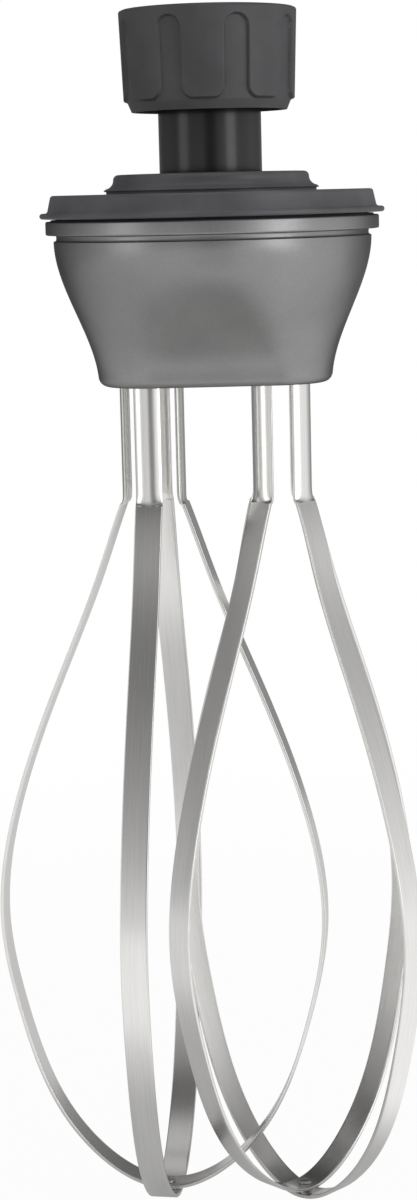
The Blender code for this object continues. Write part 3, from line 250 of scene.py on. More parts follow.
def weld(mesh):
    """Merges points that lie in one place, drops faces that shrink to nothing and turns every face
    outwards."""
    shell = bmesh.new()
    shell.from_mesh(mesh)
    bmesh.ops.remove_doubles(shell, verts=shell.verts, dist=1e-7)
    bmesh.ops.recalc_face_normals(shell, faces=shell.faces)
    shell.to_mesh(mesh)
    shell.free()


def turned(name, profile, look, at=(0.0, 0.0), around=AROUND, wrap=True):
    """A profile of (radius, height) carried round an upright axis: x = r cos a, y = r sin a. The
    profile wraps to its start unless it begins and ends on the axis."""
    profile = np.array(profile, float)
    angles = np.arange(around) * 2 * math.pi / around
    radius = profile[:, 0:1]
    points = np.stack(
        [
            at[0] + radius * np.cos(angles),
            at[1] + radius * np.sin(angles),
            np.repeat(profile[:, 1:2], around, axis=1),
        ],
        axis=-1,
    )
    return surface(name, points, look, wrap_rows=wrap)


def rounded(profile, radius, steps=4):
    """Rounds each corner of an open profile: the corner is cut off at equal distances along its two
    sides, and a parabola joins the cuts."""
    profile = np.array(profile, float)
    smooth = [profile[0]]
    for before, corner, after in zip(profile, profile[1:], profile[2:]):
        into, out = before - corner, after - corner
        reach = min(radius, np.linalg.norm(into) * 0.45, np.linalg.norm(out) * 0.45)
        start = corner + into / np.linalg.norm(into) * reach
        end = corner + out / np.linalg.norm(out) * reach
        for t in np.linspace(0, 1, steps):
            smooth.append((1 - t) ** 2 * start + 2 * t * (1 - t) * corner + t**2 * end)
    smooth.append(profile[-1])
    return np.array(smooth)


def arc(centre, radius, start, end, steps):
    """Points on a circle's arc, from one angle in degrees to another."""
    angles = np.radians(np.linspace(start, end, steps))
    return [(centre[0] + radius * math.cos(a), centre[1] + radius * math.sin(a)) for a in angles]


def cut(piece, tools):
    """Takes the tools' shapes out of a piece for good, and removes the tools."""
    for tool in tools:
        step = piece.modifiers.new("cut", "BOOLEAN")
        step.operation = "DIFFERENCE"
        step.solver = "EXACT"
        step.object = tool
    bpy.context.view_layer.update()
    graph = bpy.context.evaluated_depsgraph_get()
    mesh = bpy.data.meshes.new_from_object(piece.evaluated_get(graph))
    piece.modifiers.clear()
    old = piece.data
    piece.data = mesh
    bpy.data.meshes.remove(old)
    mesh.shade_smooth()
    mesh.set_sharp_from_angle(angle=math.radians(38))
    for tool in tools:
        bpy.data.objects.remove(tool)


def prism(name, outline, low, high, look):
    """A flat outline raised between two heights, as a cutter."""
    outline = np.array(outline, float)
    rows = [np.column_stack([outline, np.full(len(outline), z)]) for z in (low, high)]
    return surface(name, np.array(rows), look, cap_ends=True)


def hexagon(across, at=(0.0, 0.0)):
    """The corners of a hexagon of a given width across its flats."""
    angles = np.arange(6) * math.pi / 3
    corner = across / 2 / math.cos(math.pi / 6)
    return np.column_stack([at[0] + corner * np.cos(angles), at[1] + corner * np.sin(angles)])


def smooth_step(low, high, value):
    """Rises from 0 at low to 1 at high along 3t^2 - 2t^3."""
    t = np.clip((value - low) / (high - low), 0, 1)
    return t * t * (3 - 2 * t)


class Value:
    """A socket of a material's nodes, with arithmetic: each operator adds one Math node."""

    def __init__(self, tree, socket):
        self.tree = tree
        self.socket = socket

    def _math(self, operation, *values):
        return node(self.tree, "ShaderNodeMath", {"operation": operation}, dict(enumerate(values)))[0]

    def __add__(self, other):
        return self._math("ADD", self, other)

    def __radd__(self, other):
        return self._math("ADD", other, self)

    def __sub__(self, other):
        return self._math("SUBTRACT", self, other)

    def __rsub__(self, other):
        return self._math("SUBTRACT", other, self)

    def __mul__(self, other):
        return self._math("MULTIPLY", self, other)

    def __rmul__(self, other):
        return self._math("MULTIPLY", other, self)

    def above(self, low, high):
        """Rises smoothly from 0 at low to 1 at high."""
        settings = {"interpolation_type": "SMOOTHSTEP"}
        return node(self.tree, "ShaderNodeMapRange", settings, {0: self, 1: low, 2: high})[0]


def node(tree, kind, settings=None, inputs=None):
    """Adds a node: its settings first, then its inputs by name or number, as values or links.
    Returns its outputs, wrapped."""
    made = tree.nodes.new(kind)
    for key, value in (settings or {}).items():
        setattr(made, key, value)
    for key, value in (inputs or {}).items():
        if isinstance(value, Value):
            tree.links.new(value.socket, made.inputs[key])
        else:
            made.inputs[key].default_value = value
    return [Value(tree, output) for output in made.outputs]


class Finish:
    """A new material with its Principled shader, and short ways to feed it."""

    def __init__(self, name, colour, roughness, metallic=0.0, **constants):
        self.material = bpy.data.materials.new(name)
        self.material.use_nodes = True
        self.tree = self.material.node_tree
        self.shader = self.tree.nodes["Principled BSDF"]
        self.shader.inputs["Base Color"].default_value = (*colour, 1)
        self.shader.inputs["Roughness"].default_value = roughness
        self.shader.inputs["Metallic"].default_value = metallic
        for key, value in constants.items():
            self.shader.inputs[key.replace("_", " ")].default_value = value
        self.material.diffuse_color = (*colour, 1)

    def place(self):
        """Object coordinates in metres."""
        return node(self.tree, "ShaderNodeTexCoord")[3]

    def strip_place(self):
        """Metres along and across a strip, from its own map."""
        return node(self.tree, "ShaderNodeUVMap", {"uv_map": "Strip"})[0]

    def scaled(self, vector, scale):
        """A place stretched by a scale for each direction."""
        return node(self.tree, "ShaderNodeMapping", None, {"Vector": vector, "Scale": scale})[0]

    def noise(self, vector, scale, detail=3.0, roughness=0.5):
        inputs = {"Vector": vector, "Scale": scale, "Detail": detail, "Roughness": roughness}
        return node(self.tree, "ShaderNodeTexNoise", None, inputs)[0]

    def blend(self, amount, first, second):
        """Mixes two colours."""
        inputs = {0: amount, 6: (*first, 1), 7: (*second, 1)}
        return node(self.tree, "ShaderNodeMix", {"data_type": "RGBA"}, inputs)[2]

    def feed(self, socket, value):
        self.tree.links.new(value.socket, self.shader.inputs[socket])

    def bump(self, height, distance, strength=1.0):
        """Raises the surface by a height times a distance in metres."""
        inputs = {"Height": height, "Distance": distance, "Strength": strength}
        normal = node(self.tree, "ShaderNodeBump", None, inputs)[0]
        self.feed("Normal", normal)


def housing_look():
    """Satin metallic grey paint over a cast shell: fine flake, faint clouding and soft orange peel."""
    look = Finish("housing_paint", (0.2, 0.2, 0.2), 0.5, 0.85, Specular_Tint=(0.1, 0.1, 0.1, 1))
    place = look.place()
    flake = look.noise(place, 2600, 2.0, 0.6)
    cloud = look.noise(place, 45, 3.0, 0.5)
    shade = 0.5 * flake + 0.5 * cloud
    dark, pale = (0.26, 0.26, 0.26), (0.325, 0.325, 0.323)
    look.feed("Base Color", look.blend(shade.above(0.28, 0.72), dark, pale))
    look.feed("Roughness", 0.32 + 0.1 * cloud)
    look.bump(look.noise(place, 1500, 2.0, 0.5), 0.00004, 0.35)
    return look.material


def cover_look():
    """Charcoal moulded plastic with a fine satin grain and faint clouding."""
    look = Finish("cover_plastic", (0.075, 0.073, 0.08), 0.48)
    place = look.place()
    grain = look.noise(place, 2200, 2.0, 0.6)
    cloud = look.noise(place, 60, 4.0, 0.55)
    dark, pale = (0.062, 0.061, 0.067), (0.086, 0.084, 0.092)
    look.feed("Base Color", look.blend(cloud.above(0.3, 0.7), dark, pale))
    look.feed("Roughness", 0.38 + 0.2 * cloud)
    look.bump(grain, 0.00003, 0.4)
    return look.material


def nut_look():
    """Matt charcoal grip plastic with a spark-eroded grain and faint clouding."""
    look = Finish("nut_plastic", (0.052, 0.052, 0.055), 0.56)
    place = look.place()
    grain = look.noise(place, 3000, 2.0, 0.65)
    cloud = look.noise(place, 90, 3.0, 0.5)
    dark, pale = (0.045, 0.045, 0.048), (0.06, 0.06, 0.063)
    look.feed("Base Color", look.blend(cloud.above(0.3, 0.7), dark, pale))
    look.feed("Roughness", 0.5 + 0.14 * cloud)
    look.bump(grain, 0.00004, 0.5)
    return look.material


def neck_look():
    """Gloss black moulded tube with very fine turning lines."""
    look = Finish("neck_plastic", (0.006, 0.006, 0.007), 0.2)
    place = look.place()
    lines = look.noise(look.scaled(place, (20, 20, 1800)), 1.0, 2.0, 0.5)
    look.feed("Roughness", 0.18 + 0.1 * lines)
    look.bump(lines, 0.000004, 0.3)
    return look.material


def strip_look():
    """Brushed stainless strip: long thin scratches run with the strip, with slow cloudy changes of
    tone."""
    look = Finish("brushed_strip", (0.76, 0.752, 0.735), 0.3, 1.0)
    run = look.strip_place()
    fine = look.noise(look.scaled(run, (90, 9000, 1)), 1.0, 3.0, 0.6)
    coarse = look.noise(look.scaled(run, (25, 2200, 1)), 1.0, 2.0, 0.5)
    cloud = look.noise(look.scaled(run, (40, 160, 1)), 1.0, 3.0, 0.5)
    grain = 0.55 * fine + 0.3 * coarse + 0.15 * cloud
    dark, pale = (0.76, 0.752, 0.735), (0.88, 0.872, 0.855)
    look.feed("Base Color", look.blend(grain.above(0.3, 0.7), dark, pale))
    look.feed("Roughness", 0.14 + 0.16 * grain)
    look.bump(0.7 * fine + 0.3 * coarse, 0.00001, 0.5)
    return look.material


def steel_look():
    """Ground steel with a fine random grain."""
    look = Finish("ground_steel", (0.55, 0.55, 0.56), 0.3, 1.0)
    grain = look.noise(look.place(), 3000, 2.0, 0.6)
    look.feed("Roughness", 0.24 + 0.16 * grain)
    look.bump(grain, 0.000008, 0.4)
    return look.material


def spring_steel_look():
    """Blued spring steel, clouded by its heat treatment."""
    look = Finish("spring_steel", (0.12, 0.12, 0.13), 0.4, 1.0)
    cloud = look.noise(look.place(), 400, 3.0, 0.5)
    look.feed("Base Color", look.blend(cloud, (0.09, 0.09, 0.1), (0.16, 0.155, 0.16)))
    return look.material


def bronze_look():
    """Sintered bronze with open pores."""
    look = Finish("sintered_bronze", (0.42, 0.27, 0.12), 0.5, 1.0)
    pores = look.noise(look.place(), 2400, 2.0, 0.7).above(0.35, 0.6)
    look.feed("Base Color", look.blend(pores, (0.28, 0.17, 0.08), (0.45, 0.29, 0.13)))
    look.bump(pores, 0.00005, 0.6)
    return look.material


def rubber_look():
    """Matt black rubber with a faint bloom."""
    look = Finish("black_rubber", (0.02, 0.02, 0.02), 0.8)
    bloom = look.noise(look.place(), 300, 3.0, 0.5)
    look.feed("Base Color", look.blend(bloom, (0.016, 0.016, 0.016), (0.03, 0.03, 0.031)))
    return look.material


def acetal_look(name, colour):
    """Moulded acetal with soft tone changes and a slight sheen."""
    look = Finish(name, colour, 0.42)
    cloud = look.noise(look.place(), 250, 3.0, 0.5)
    dark = tuple(c * 0.9 for c in colour)
    pale = tuple(min(1.0, c * 1.06) for c in colour)
    look.feed("Base Color", look.blend(cloud, dark, pale))
    look.feed("Roughness", 0.36 + 0.12 * cloud)
    return look.material


LOOKS = {
    "housing": housing_look(),
    "cover": cover_look(),
    "nut": nut_look(),
    "neck": neck_look(),
    "strip": strip_look(),
    "steel": steel_look(),
    "spring_steel": spring_steel_look(),
    "bronze": bronze_look(),
    "rubber": rubber_look(),
    "gear_plastic": acetal_look("natural_acetal", (0.75, 0.74, 0.7)),
    "hub_plastic": acetal_look("grey_acetal", (0.3, 0.3, 0.31)),
}


def finish_frame_nodes():
    """Every solid of the frame gets the finish of its material slot."""
    for part in frame["record"]["subparts"]:
        solid = frame["nodes"][part["node"]]
        look = LOOKS[part["material_slot"]]
        solid.data.materials.clear()
        solid.data.materials.append(look)


def settle(piece, body, slot, *nodes):
    """Puts a finished piece on its body and hides the nodes that it stands for. The slot is not used."""
    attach(piece, body)
    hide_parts(*nodes)


def nut_groove(along, height):
    """How deep the grip is cut back at a place round and up the nut, from 0 to 1. Between two
    fingers a groove with an arched top is cut to full depth, and below the fingers' rounded feet
    the whole skirt is. The share comes from the distance to the groove's edge, over the wall's run."""
    arch_centre = NUT_HIGH.z - NUT_GROOVE_TOP - NUT_GROOVE_HALF
    above = np.maximum(height - arch_centre, 0)
    groove_edge = NUT_GROOVE_HALF - np.hypot(along, above)
    pitch = 2 * math.pi * (NUT_TOP_RADIUS + NUT_FOOT_RADIUS) / 2 / NUT_GRIPS
    finger_half = pitch / 2 - NUT_GROOVE_HALF
    beside = np.abs(np.abs(along) - pitch / 2)
    corner = min(NUT_FINGER_CORNER, finger_half)
    foot = NUT_LOW.z + NUT_FINGER_FOOT
    out_x = np.maximum(beside - (finger_half - corner), 0)
    out_z = np.maximum(foot + corner - height, 0)
    finger_edge = np.hypot(out_x, out_z) - corner
    depth = np.maximum(groove_edge, np.where(height < arch_centre, finger_edge, -1.0))
    return smooth_step(0.0, NUT_WALL_RUN, depth)


def make_nut():
    """The coupling nut. Its outside is a cone, radius = foot + taper x height, less the groove's
    depth there, with a rounded rim and a bevelled foot. Its bore carries a thread: the radius
    shrinks by the thread's depth times a rounded saw of height / pitch - turn."""
    angles = np.arange(NUT_AROUND) * 2 * math.pi / NUT_AROUND
    height = NUT_HIGH.z - NUT_LOW.z
    middle = (NUT_TOP_RADIUS + NUT_FOOT_RADIUS) / 2
    turn = (angles - NUT_GROOVE_TURN + math.pi / NUT_GRIPS) % (2 * math.pi / NUT_GRIPS)
    along = (turn - math.pi / NUT_GRIPS) * middle
    z = np.linspace(NUT_LOW.z, NUT_HIGH.z, NUT_ROWS)[:, None]
    cone = NUT_FOOT_RADIUS + (NUT_TOP_RADIUS - NUT_FOOT_RADIUS) * (z - NUT_LOW.z) / height
    groove = nut_groove(along[None, :], z)
    bevel_top = NUT_LOW.z + NUT_FOOT_CHAMFER_HEIGHT
    bevel = NUT_FOOT_CHAMFER * np.clip((bevel_top - z) / NUT_FOOT_CHAMFER_HEIGHT, 0, 1)
    rise = np.clip((z - (NUT_HIGH.z - NUT_EDGE)) / NUT_EDGE, 0, 1)
    rim = NUT_EDGE * (1 - np.sqrt(1 - rise**2))
    radius = cone - NUT_GROOVE_DEPTH * groove - bevel - rim
    outside = np.stack([radius * np.cos(angles), radius * np.sin(angles), z + 0 * angles], axis=-1)
    z_in = np.linspace(NUT_HIGH.z, NUT_WEB_TOP, THREAD_ROWS)[:, None]
    saw = 0.5 + 0.5 * np.cos(2 * math.pi * (z_in / THREAD_PITCH - angles / (2 * math.pi)))
    fade = smooth_step(0, THREAD_PITCH, NUT_HIGH.z - z_in)
    fade = fade * smooth_step(0, THREAD_PITCH, z_in - NUT_WEB_TOP)
    bore = NUT_BORE - THREAD_DEPTH * fade * saw**THREAD_SHARPNESS
    thread = np.stack([bore * np.cos(angles), bore * np.sin(angles), z_in + 0 * angles], axis=-1)
    web_foot = NUT_WEB_TOP - NUT_WEB
    inner = [(NUT_HOLE, NUT_WEB_TOP), (NUT_HOLE, web_foot), (NUT_BORE, web_foot), (NUT_BORE, NUT_LOW.z)]
    inner = [np.stack([r * np.cos(angles), r * np.sin(angles), h + 0 * angles], axis=-1) for r, h in inner]
    points = np.concatenate([outside, thread, np.array(inner)])
    piece = surface("coupling_nut_visible", points, LOOKS["nut"], wrap_rows=True)
    settle(piece, "nut", "nut", "coupling_nut")


def make_neck():
    """The neck tube, turned from its section, with softened edges."""
    bore_foot = -NECK_BORE_DEPTH
    ring_top = NUT_WEB_TOP - NUT_WEB - SEAT
    ring = (ring_top + SEAT, ring_top - RING_THICK - SEAT)
    groove = NECK_RADIUS - RING_GROOVE_DEPTH
    outside = [
        (NECK_BORE + NECK_CHAMFER, 0.0),
        (NECK_FLANGE_RADIUS, 0.0),
        (NECK_FLANGE_RADIUS, -NECK_FLANGE),
        (NECK_RADIUS, -NECK_FLANGE),
        (NECK_RADIUS, ring[0]),
        (groove, ring[0]),
        (groove, ring[1]),
        (NECK_RADIUS, ring[1]),
        (NECK_RADIUS, NECK_LOW.z),
        (NECK_LOWER_BORE, NECK_LOW.z),
        (NECK_LOWER_BORE, bore_foot),
        (NECK_BORE, bore_foot),
        (NECK_BORE, -NECK_CHAMFER),
    ]
    piece = turned("neck_tube_visible", rounded(outside, NECK_EDGE), LOOKS["neck"])
    settle(piece, "gearbox", "neck", "neck_tube")


def screw_places():
    angles = [SCREW_TURN + 2 * math.pi * i / 4 for i in range(4)]
    return [(SCREW_CIRCLE * math.cos(a), SCREW_CIRCLE * math.sin(a)) for a in angles]


def make_cover():
    """The stepped cover: a rounded collar that flares along a quarter of an ellipse, a dark undercut,
    the plate, and the thin lip with a half-round edge."""
    flare_top = COLLAR_TOP - COLLAR_ROUND
    flare_foot = COLLAR_TOP - COLLAR_HEIGHT
    flare = []
    for t in np.linspace(0.1, 1.0, FLARE_STEPS):
        out = (COLLAR_FLARE_RADIUS - COLLAR_RADIUS) * (1 - math.sqrt(max(0.0, 1 - (0.98 * t) ** 2)))
        flare.append((COLLAR_RADIUS + out, flare_top + (flare_foot + SHADOW_STEP - flare_top) * t))
    lip_half = LIP_THICK / 2
    neck_hole = NECK_RADIUS + SEAT
    plug_radius = BODY_TOP_RADIUS - COVER_PLUG_INSET
    plug_foot = LIP_FOOT - COVER_PLUG_DEPTH
    profile = (
        [(neck_hole, COLLAR_TOP)]
        + arc((COLLAR_RADIUS - COLLAR_ROUND, COLLAR_TOP - COLLAR_ROUND), COLLAR_ROUND, 90, 0, 9)
        + flare
        + [(COLLAR_FLARE_RADIUS, flare_foot + 0.25 * MM), (COLLAR_FLARE_RADIUS - 0.15 * MM, flare_foot)]
        + [(COLLAR_FLARE_RADIUS - SHADOW_STEP, flare_foot), (COLLAR_FLARE_RADIUS - SHADOW_STEP, PLATE_TOP)]
        + arc((PLATE_RADIUS - PLATE_ROUND, PLATE_TOP - PLATE_ROUND), PLATE_ROUND, 90, 0, 7)
        + [(PLATE_FLARE_RADIUS - 0.2 * MM, LIP_TOP + PLATE_FOOT_ROUND)]
        + [(PLATE_FLARE_RADIUS + 0.3 * MM, LIP_TOP)]
        + arc((LIP_RADIUS - lip_half, LIP_TOP - lip_half), lip_half, 90, -90, 11)
        + [(plug_radius, LIP_FOOT), (plug_radius, plug_foot), (neck_hole, plug_foot)]
    )
    cover = turned("top_cover_visible", profile, LOOKS["cover"], around=AROUND * 2)
    tools = []
    for i, (x, y) in enumerate(screw_places()):
        wide, low, high = SCREW_HEAD_RADIUS + SEAT, SCREW_SEAT - SEAT, PLATE_TOP + MM
        sink = [(0, low), (wide, low), (wide, high), (0, high)]
        tools.append(turned(f"sink_{i}", sink, LOOKS["cover"], (x, y), SMALL_AROUND, wrap=False))
    cut(cover, tools)
    settle(cover, "gearbox", "cover", "top_cover")


def make_screws():
    """Four socket-head screws with rounded heads and a hexagonal drive."""
    look = LOOKS["steel"]
    top = SCREW_SEAT + SCREW_HEAD
    for i, place in enumerate(screw_places()):
        head = rounded(
            [
                (0, SCREW_LOW.z),
                (SCREW_RADIUS * 0.6, SCREW_LOW.z),
                (SCREW_RADIUS, SCREW_LOW.z + SCREW_TIP),
                (SCREW_RADIUS, SCREW_SEAT),
                (SCREW_HEAD_RADIUS, SCREW_SEAT),
                (SCREW_HEAD_RADIUS, top),
                (0, top),
            ],
            SCREW_EDGE,
        )
        screw = turned(f"cover_screw_{i + 1}_visible", head, look, place, SMALL_AROUND, wrap=False)
        drive = hexagon(SCREW_DRIVE_ACROSS, place)
        cut(screw, [prism("drive", drive, top - SCREW_DRIVE_DEPTH, top + MM, look)])
        settle(screw, "gearbox", "steel", f"cover_screw_{i + 1}")


def stretched_ring(stretch, radius, height, around):
    """A circle whose left and right halves stand a stretch to either side: x = r cos a + stretch x
    the sign of cos a, y = r sin a. No angle falls where the halves part."""
    angles = (np.arange(around) + 0.5) * 2 * math.pi / around
    side = np.sign(np.cos(angles))
    x = stretch[:, None] * side + radius[:, None] * np.cos(angles)
    y = radius[:, None] * np.sin(angles)
    return np.stack([x, y, np.repeat(height[:, None], around, axis=1)], axis=-1)


def body_section(height):
    """The funnel's stretch and radius at a height. Both ease along 3t^2 - 2t^3 from the round top to
    the obround foot."""
    ease = smooth_step(0.0, BODY_HEIGHT, BODY_TOP - height)
    stretch = (BODY_FOOT_HALF_WIDTH - BODY_FOOT_HALF_DEPTH) * ease
    return stretch, BODY_TOP_RADIUS + (BODY_FOOT_HALF_DEPTH - BODY_TOP_RADIUS) * ease


def make_housing():
    """The funnel: rows of stretched rings from the middle of the foot, round the foot's edge, up the
    side, over the groove and the band to the rim, then across the top inside."""
    turn = np.radians(np.linspace(0, 78, 9))
    foot = BODY_FOOT + BODY_FOOT_ROUND * (1 - np.cos(turn))
    stretch_foot, radius_foot = body_section(foot)
    radius_foot = radius_foot - BODY_FOOT_ROUND * (1 - np.sin(turn))
    side = np.linspace(BODY_FOOT + BODY_FOOT_ROUND, BODY_TOP, BODY_ROWS)
    stretch_side, radius_side = body_section(side)
    groove = BODY_TOP_RADIUS - BAND_GROOVE_DEPTH
    band = rounded(
        [
            (BODY_TOP_RADIUS, BODY_TOP + 0.05 * MM),
            (groove, BODY_TOP + BAND_GROOVE_DEPTH / 2),
            (groove, BAND_FOOT),
            (BAND_RADIUS, BAND_FOOT),
            (BAND_RADIUS, RIM_TOP),
            (BAND_RADIUS - 3 * MM, RIM_TOP),
        ],
        BAND_EDGE,
        6,
    )
    centre = np.array([BODY_FOOT])
    rings = [
        stretched_ring(np.zeros(1), np.zeros(1), centre, AROUND * 2),
        stretched_ring(stretch_foot, radius_foot, foot, AROUND * 2),
        stretched_ring(stretch_side, radius_side, side, AROUND * 2),
        stretched_ring(np.zeros(len(band)), band[:, 0], band[:, 1], AROUND * 2),
        stretched_ring(np.zeros(1), np.zeros(1), np.array([RIM_TOP]), AROUND * 2),
    ]
    housing = surface("gear_housing_visible", np.concatenate(rings), LOOKS["housing"])
    tools = []
    look = LOOKS["housing"]
    low, high = BODY_FOOT - MM, POCKET_TOP + 3 * MM
    pocket = [(0, low), (POCKET_RADIUS, low), (POCKET_RADIUS, high), (0, high)]
    for side_x in (-WHISK_OFFSET, WHISK_OFFSET):
        tools.append(turned("pocket", pocket, look, (side_x, 0.0), SMALL_AROUND * 2, wrap=False))
    inside = [
        (0, BODY_FOOT + CAVITY_FLOOR),
        (CAVITY_FLOOR_RADIUS, BODY_FOOT + CAVITY_FLOOR),
        (CAVITY_WAIST_RADIUS, BODY_TOP - CAVITY_WAIST_DROP),
        (BODY_TOP_RADIUS - CAVITY_WALL, BODY_TOP),
        (BODY_TOP_RADIUS - CAVITY_WALL, RIM_TOP + MM),
        (0, RIM_TOP + MM),
    ]
    tools.append(turned("inside", inside, look, around=SMALL_AROUND * 2, wrap=False))
    cut(housing, tools)
    settle(housing, "gearbox", "housing", "gear_housing")


def smooth_curve(points, start, end, count):
    """A smooth curve through points with given directions at its ends: cubic pieces whose slopes
    are solved so that the bend carries on from one piece to the next. It is read at even steps."""
    points = np.array(points, float)
    gaps = np.linalg.norm(np.diff(points, axis=0), axis=1)
    knots = np.concatenate(([0.0], np.cumsum(gaps)))
    size = len(points)
    matrix, target = np.zeros((size, size)), np.zeros((size, 2))
    matrix[0, 0] = matrix[-1, -1] = 1.0
    target[0], target[-1] = start, end
    for i in range(1, size - 1):
        before, after = gaps[i - 1], gaps[i]
        matrix[i, i - 1 : i + 2] = after, 2 * (before + after), before
        rise_before = (points[i] - points[i - 1]) / before
        rise_after = (points[i + 1] - points[i]) / after
        target[i] = 3 * (after * rise_before + before * rise_after)
    slopes = np.linalg.solve(matrix, target)
    along = np.linspace(0.0, knots[-1], count)
    piece = np.clip(np.searchsorted(knots, along, side="right") - 1, 0, size - 2)
    length = gaps[piece][:, None]
    t = ((along - knots[piece]) / gaps[piece])[:, None]
    from_start = (2 * t**3 - 3 * t**2 + 1) * points[piece] + (t**3 - 2 * t**2 + t) * length * slopes[piece]
    from_end = (3 * t**2 - 2 * t**3) * points[piece + 1] + (t**3 - t**2) * length * slopes[piece + 1]
    return from_start + from_end


def half_loop(reach, drop):
    """One side of a loop in its own plane: rows of radius, height and roll, from 1 on the rolled leg
    to 0 on the flat strip. The kink's slope eases in over its lower part, and the roll dies away
    like the round end of a bead."""
    depth = LOOP_DEPTH + drop
    leg_z = np.linspace(STRIP_TOP, KINK + KINK_LENGTH, LEG_ROWS)
    leg = np.column_stack([np.full(LEG_ROWS, LEG_RADIUS), leg_z, np.ones(LEG_ROWS)])
    share = np.linspace(0, 1, KINK_ROWS + 2)[1:-1]
    ease = np.clip((share - 0.4) / 0.6, 0, 1)
    out = KINK_LENGTH * math.tan(KINK_ANGLE) * 0.6 * (ease**3 - ease**4 / 2)
    rolled = np.sqrt(np.clip(1 - (1.15 * share) ** 2, 0, 1))
    kink = np.column_stack([LEG_RADIUS + out, KINK + KINK_LENGTH * (1 - share), rolled])
    start = (LEG_RADIUS + KINK_LENGTH * math.tan(KINK_ANGLE) * 0.3, KINK)
    stations = [start] + [(share * reach, KINK - depth * down) for down, share in LOOP_SHAPE]
    stations.append((0.0, KINK - depth))
    direction = (math.sin(KINK_ANGLE), -math.cos(KINK_ANGLE))
    flat = smooth_curve(stations, direction, (-1.0, 0.0), LOOP_ROWS)
    return np.vstack([leg, kink, np.column_stack([flat, np.zeros(LOOP_ROWS)])])


def strip_section(rolled):
    """Points round the strip's edge as (across, outwards) for each row, and the place across the
    strip that each has on its sheet. The strip is bent across into an arc of constant width: at a
    distance s from its middle the sheet stands at (sin(s k) / k, (cos(s k) - 1) / k), where k is
    the bend. Both faces lie half the thickness off the sheet, and the edges are half-round."""
    half = STRIP_THICK / 2
    flat_half = STRIP_WIDTH / 2 - STRIP_EDGE
    face = np.linspace(-flat_half, flat_half, STRIP_ACROSS)
    corner = np.radians(np.linspace(0, 90, 4))[1:]
    edge_s = flat_half + STRIP_EDGE * np.sin(corner)
    edge_h = half - STRIP_EDGE * (1 - np.cos(corner))
    s = np.concatenate([face, edge_s, edge_s[::-1], face[::-1], -edge_s, -edge_s[::-1]])
    h = np.concatenate([face * 0 + half, edge_h, -edge_h[::-1], face * 0 - half, -edge_h, edge_h[::-1]])
    k = np.maximum(rolled[:, None] * CHANNEL_BEND / STRIP_WIDTH, 1e-4)
    across = np.sin(s * k) / k + h * np.sin(s * k)
    outwards = (np.cos(s * k) - 1) / k + h * np.cos(s * k)
    return across, outwards, s


def make_loop(name, reach, drop, azimuth, splay, centre, body):
    """One loop of strip, swept along its curve: each row's section stands square to the curve, and
    the strips lean outwards by the splay, which grows from the kink down."""
    half = half_loop(reach, drop)
    path = np.vstack([half, (half[:-1] * (-1, 1, 1))[::-1]])
    run = np.gradient(path[:, :2], axis=0)
    run /= np.linalg.norm(run, axis=1)[:, None]
    normal = np.stack([-run[:, 1], run[:, 0]], axis=1)
    across, outwards, sheet = strip_section(path[:, 2])
    radius = path[:, 0:1] + outwards * normal[:, 0:1]
    z = path[:, 1:2] + outwards * normal[:, 1:2]
    x = radius * math.cos(azimuth) - across * math.sin(azimuth) + centre
    y = radius * math.sin(azimuth) + across * math.cos(azimuth)
    x = x + splay * np.maximum(0.0, KINK - z) / LOOP_DEPTH
    steps = np.linalg.norm(np.diff(path[:, :2], axis=0), axis=1)
    length = np.concatenate(([0.0], np.cumsum(steps)))
    strip_map = np.stack([np.repeat(length[:, None], len(sheet), axis=1), sheet + 0 * z], axis=-1)
    points = np.stack([x, y, z], axis=-1)
    piece = surface(f"{name}_visible", points, LOOKS["strip"], cap_ends=True, strip_map=strip_map)
    settle(piece, body, "strip", name)


def make_rivet(name, drop, splay, centre, body):
    """The shouldered rivet that ties two loops, turned from its section with domed heads."""
    upper = KINK - LOOP_DEPTH - drop
    lower = upper - NARROW_DROP
    half = STRIP_THICK / 2 + SEAT / 3
    top, foot = upper + half, lower - half
    section = rounded(
        [
            (0, foot - RIVET_HEAD),
            (RIVET_HEAD_RADIUS * 0.8, foot - RIVET_HEAD * 0.9),
            (RIVET_HEAD_RADIUS, foot),
            (RIVET_RADIUS, foot),
            (RIVET_RADIUS, lower + half),
            (RIVET_SHOULDER_RADIUS, lower + half),
            (RIVET_SHOULDER_RADIUS, upper - half),
            (RIVET_RADIUS, upper - half),
            (RIVET_RADIUS, top),
            (RIVET_HEAD_RADIUS, top),
            (RIVET_HEAD_RADIUS * 0.8, top + RIVET_HEAD * 0.9),
            (0, top + RIVET_HEAD),
        ],
        RIVET_EDGE,
    )
    out = centre + splay * (1 + (drop + NARROW_DROP / 2) / LOOP_DEPTH)
    piece = turned(f"{name}_visible", section, LOOKS["steel"], (out, 0.0), SMALL_AROUND, wrap=False)
    settle(piece, body, "steel", name)


def make_hub(name, turn, centre, body):
    """A moulded hub with softened edges and four slots that follow the legs' bent section."""
    profile = rounded(
        [(0, HUB_FOOT), (HUB_RADIUS, HUB_FOOT), (HUB_RADIUS, HUB_HIGH.z), (0, HUB_HIGH.z)],
        HUB_EDGE,
    )
    look = LOOKS["hub_plastic"]
    hub = turned(f"{name}_visible", profile, look, (centre, 0.0), wrap=False)
    across, outwards, _ = strip_section(np.ones(1))
    grow = 1 + 2 * SEAT / STRIP_WIDTH
    tools = []
    for leg in range(4):
        angle = turn + leg * math.pi / 2
        radial = LEG_RADIUS + outwards[0] * (1 + 2 * SEAT / STRIP_THICK)
        tangent = across[0] * grow
        x = centre + radial * math.cos(angle) - tangent * math.sin(angle)
        y = radial * math.sin(angle) + tangent * math.cos(angle)
        outline = np.column_stack([x, y])
        tools.append(prism("slot", outline, HUB_FOOT - MM, HUB_FOOT + SLOT_DEPTH, look))
    cut(hub, tools)
    settle(hub, body, "hub_plastic", name)


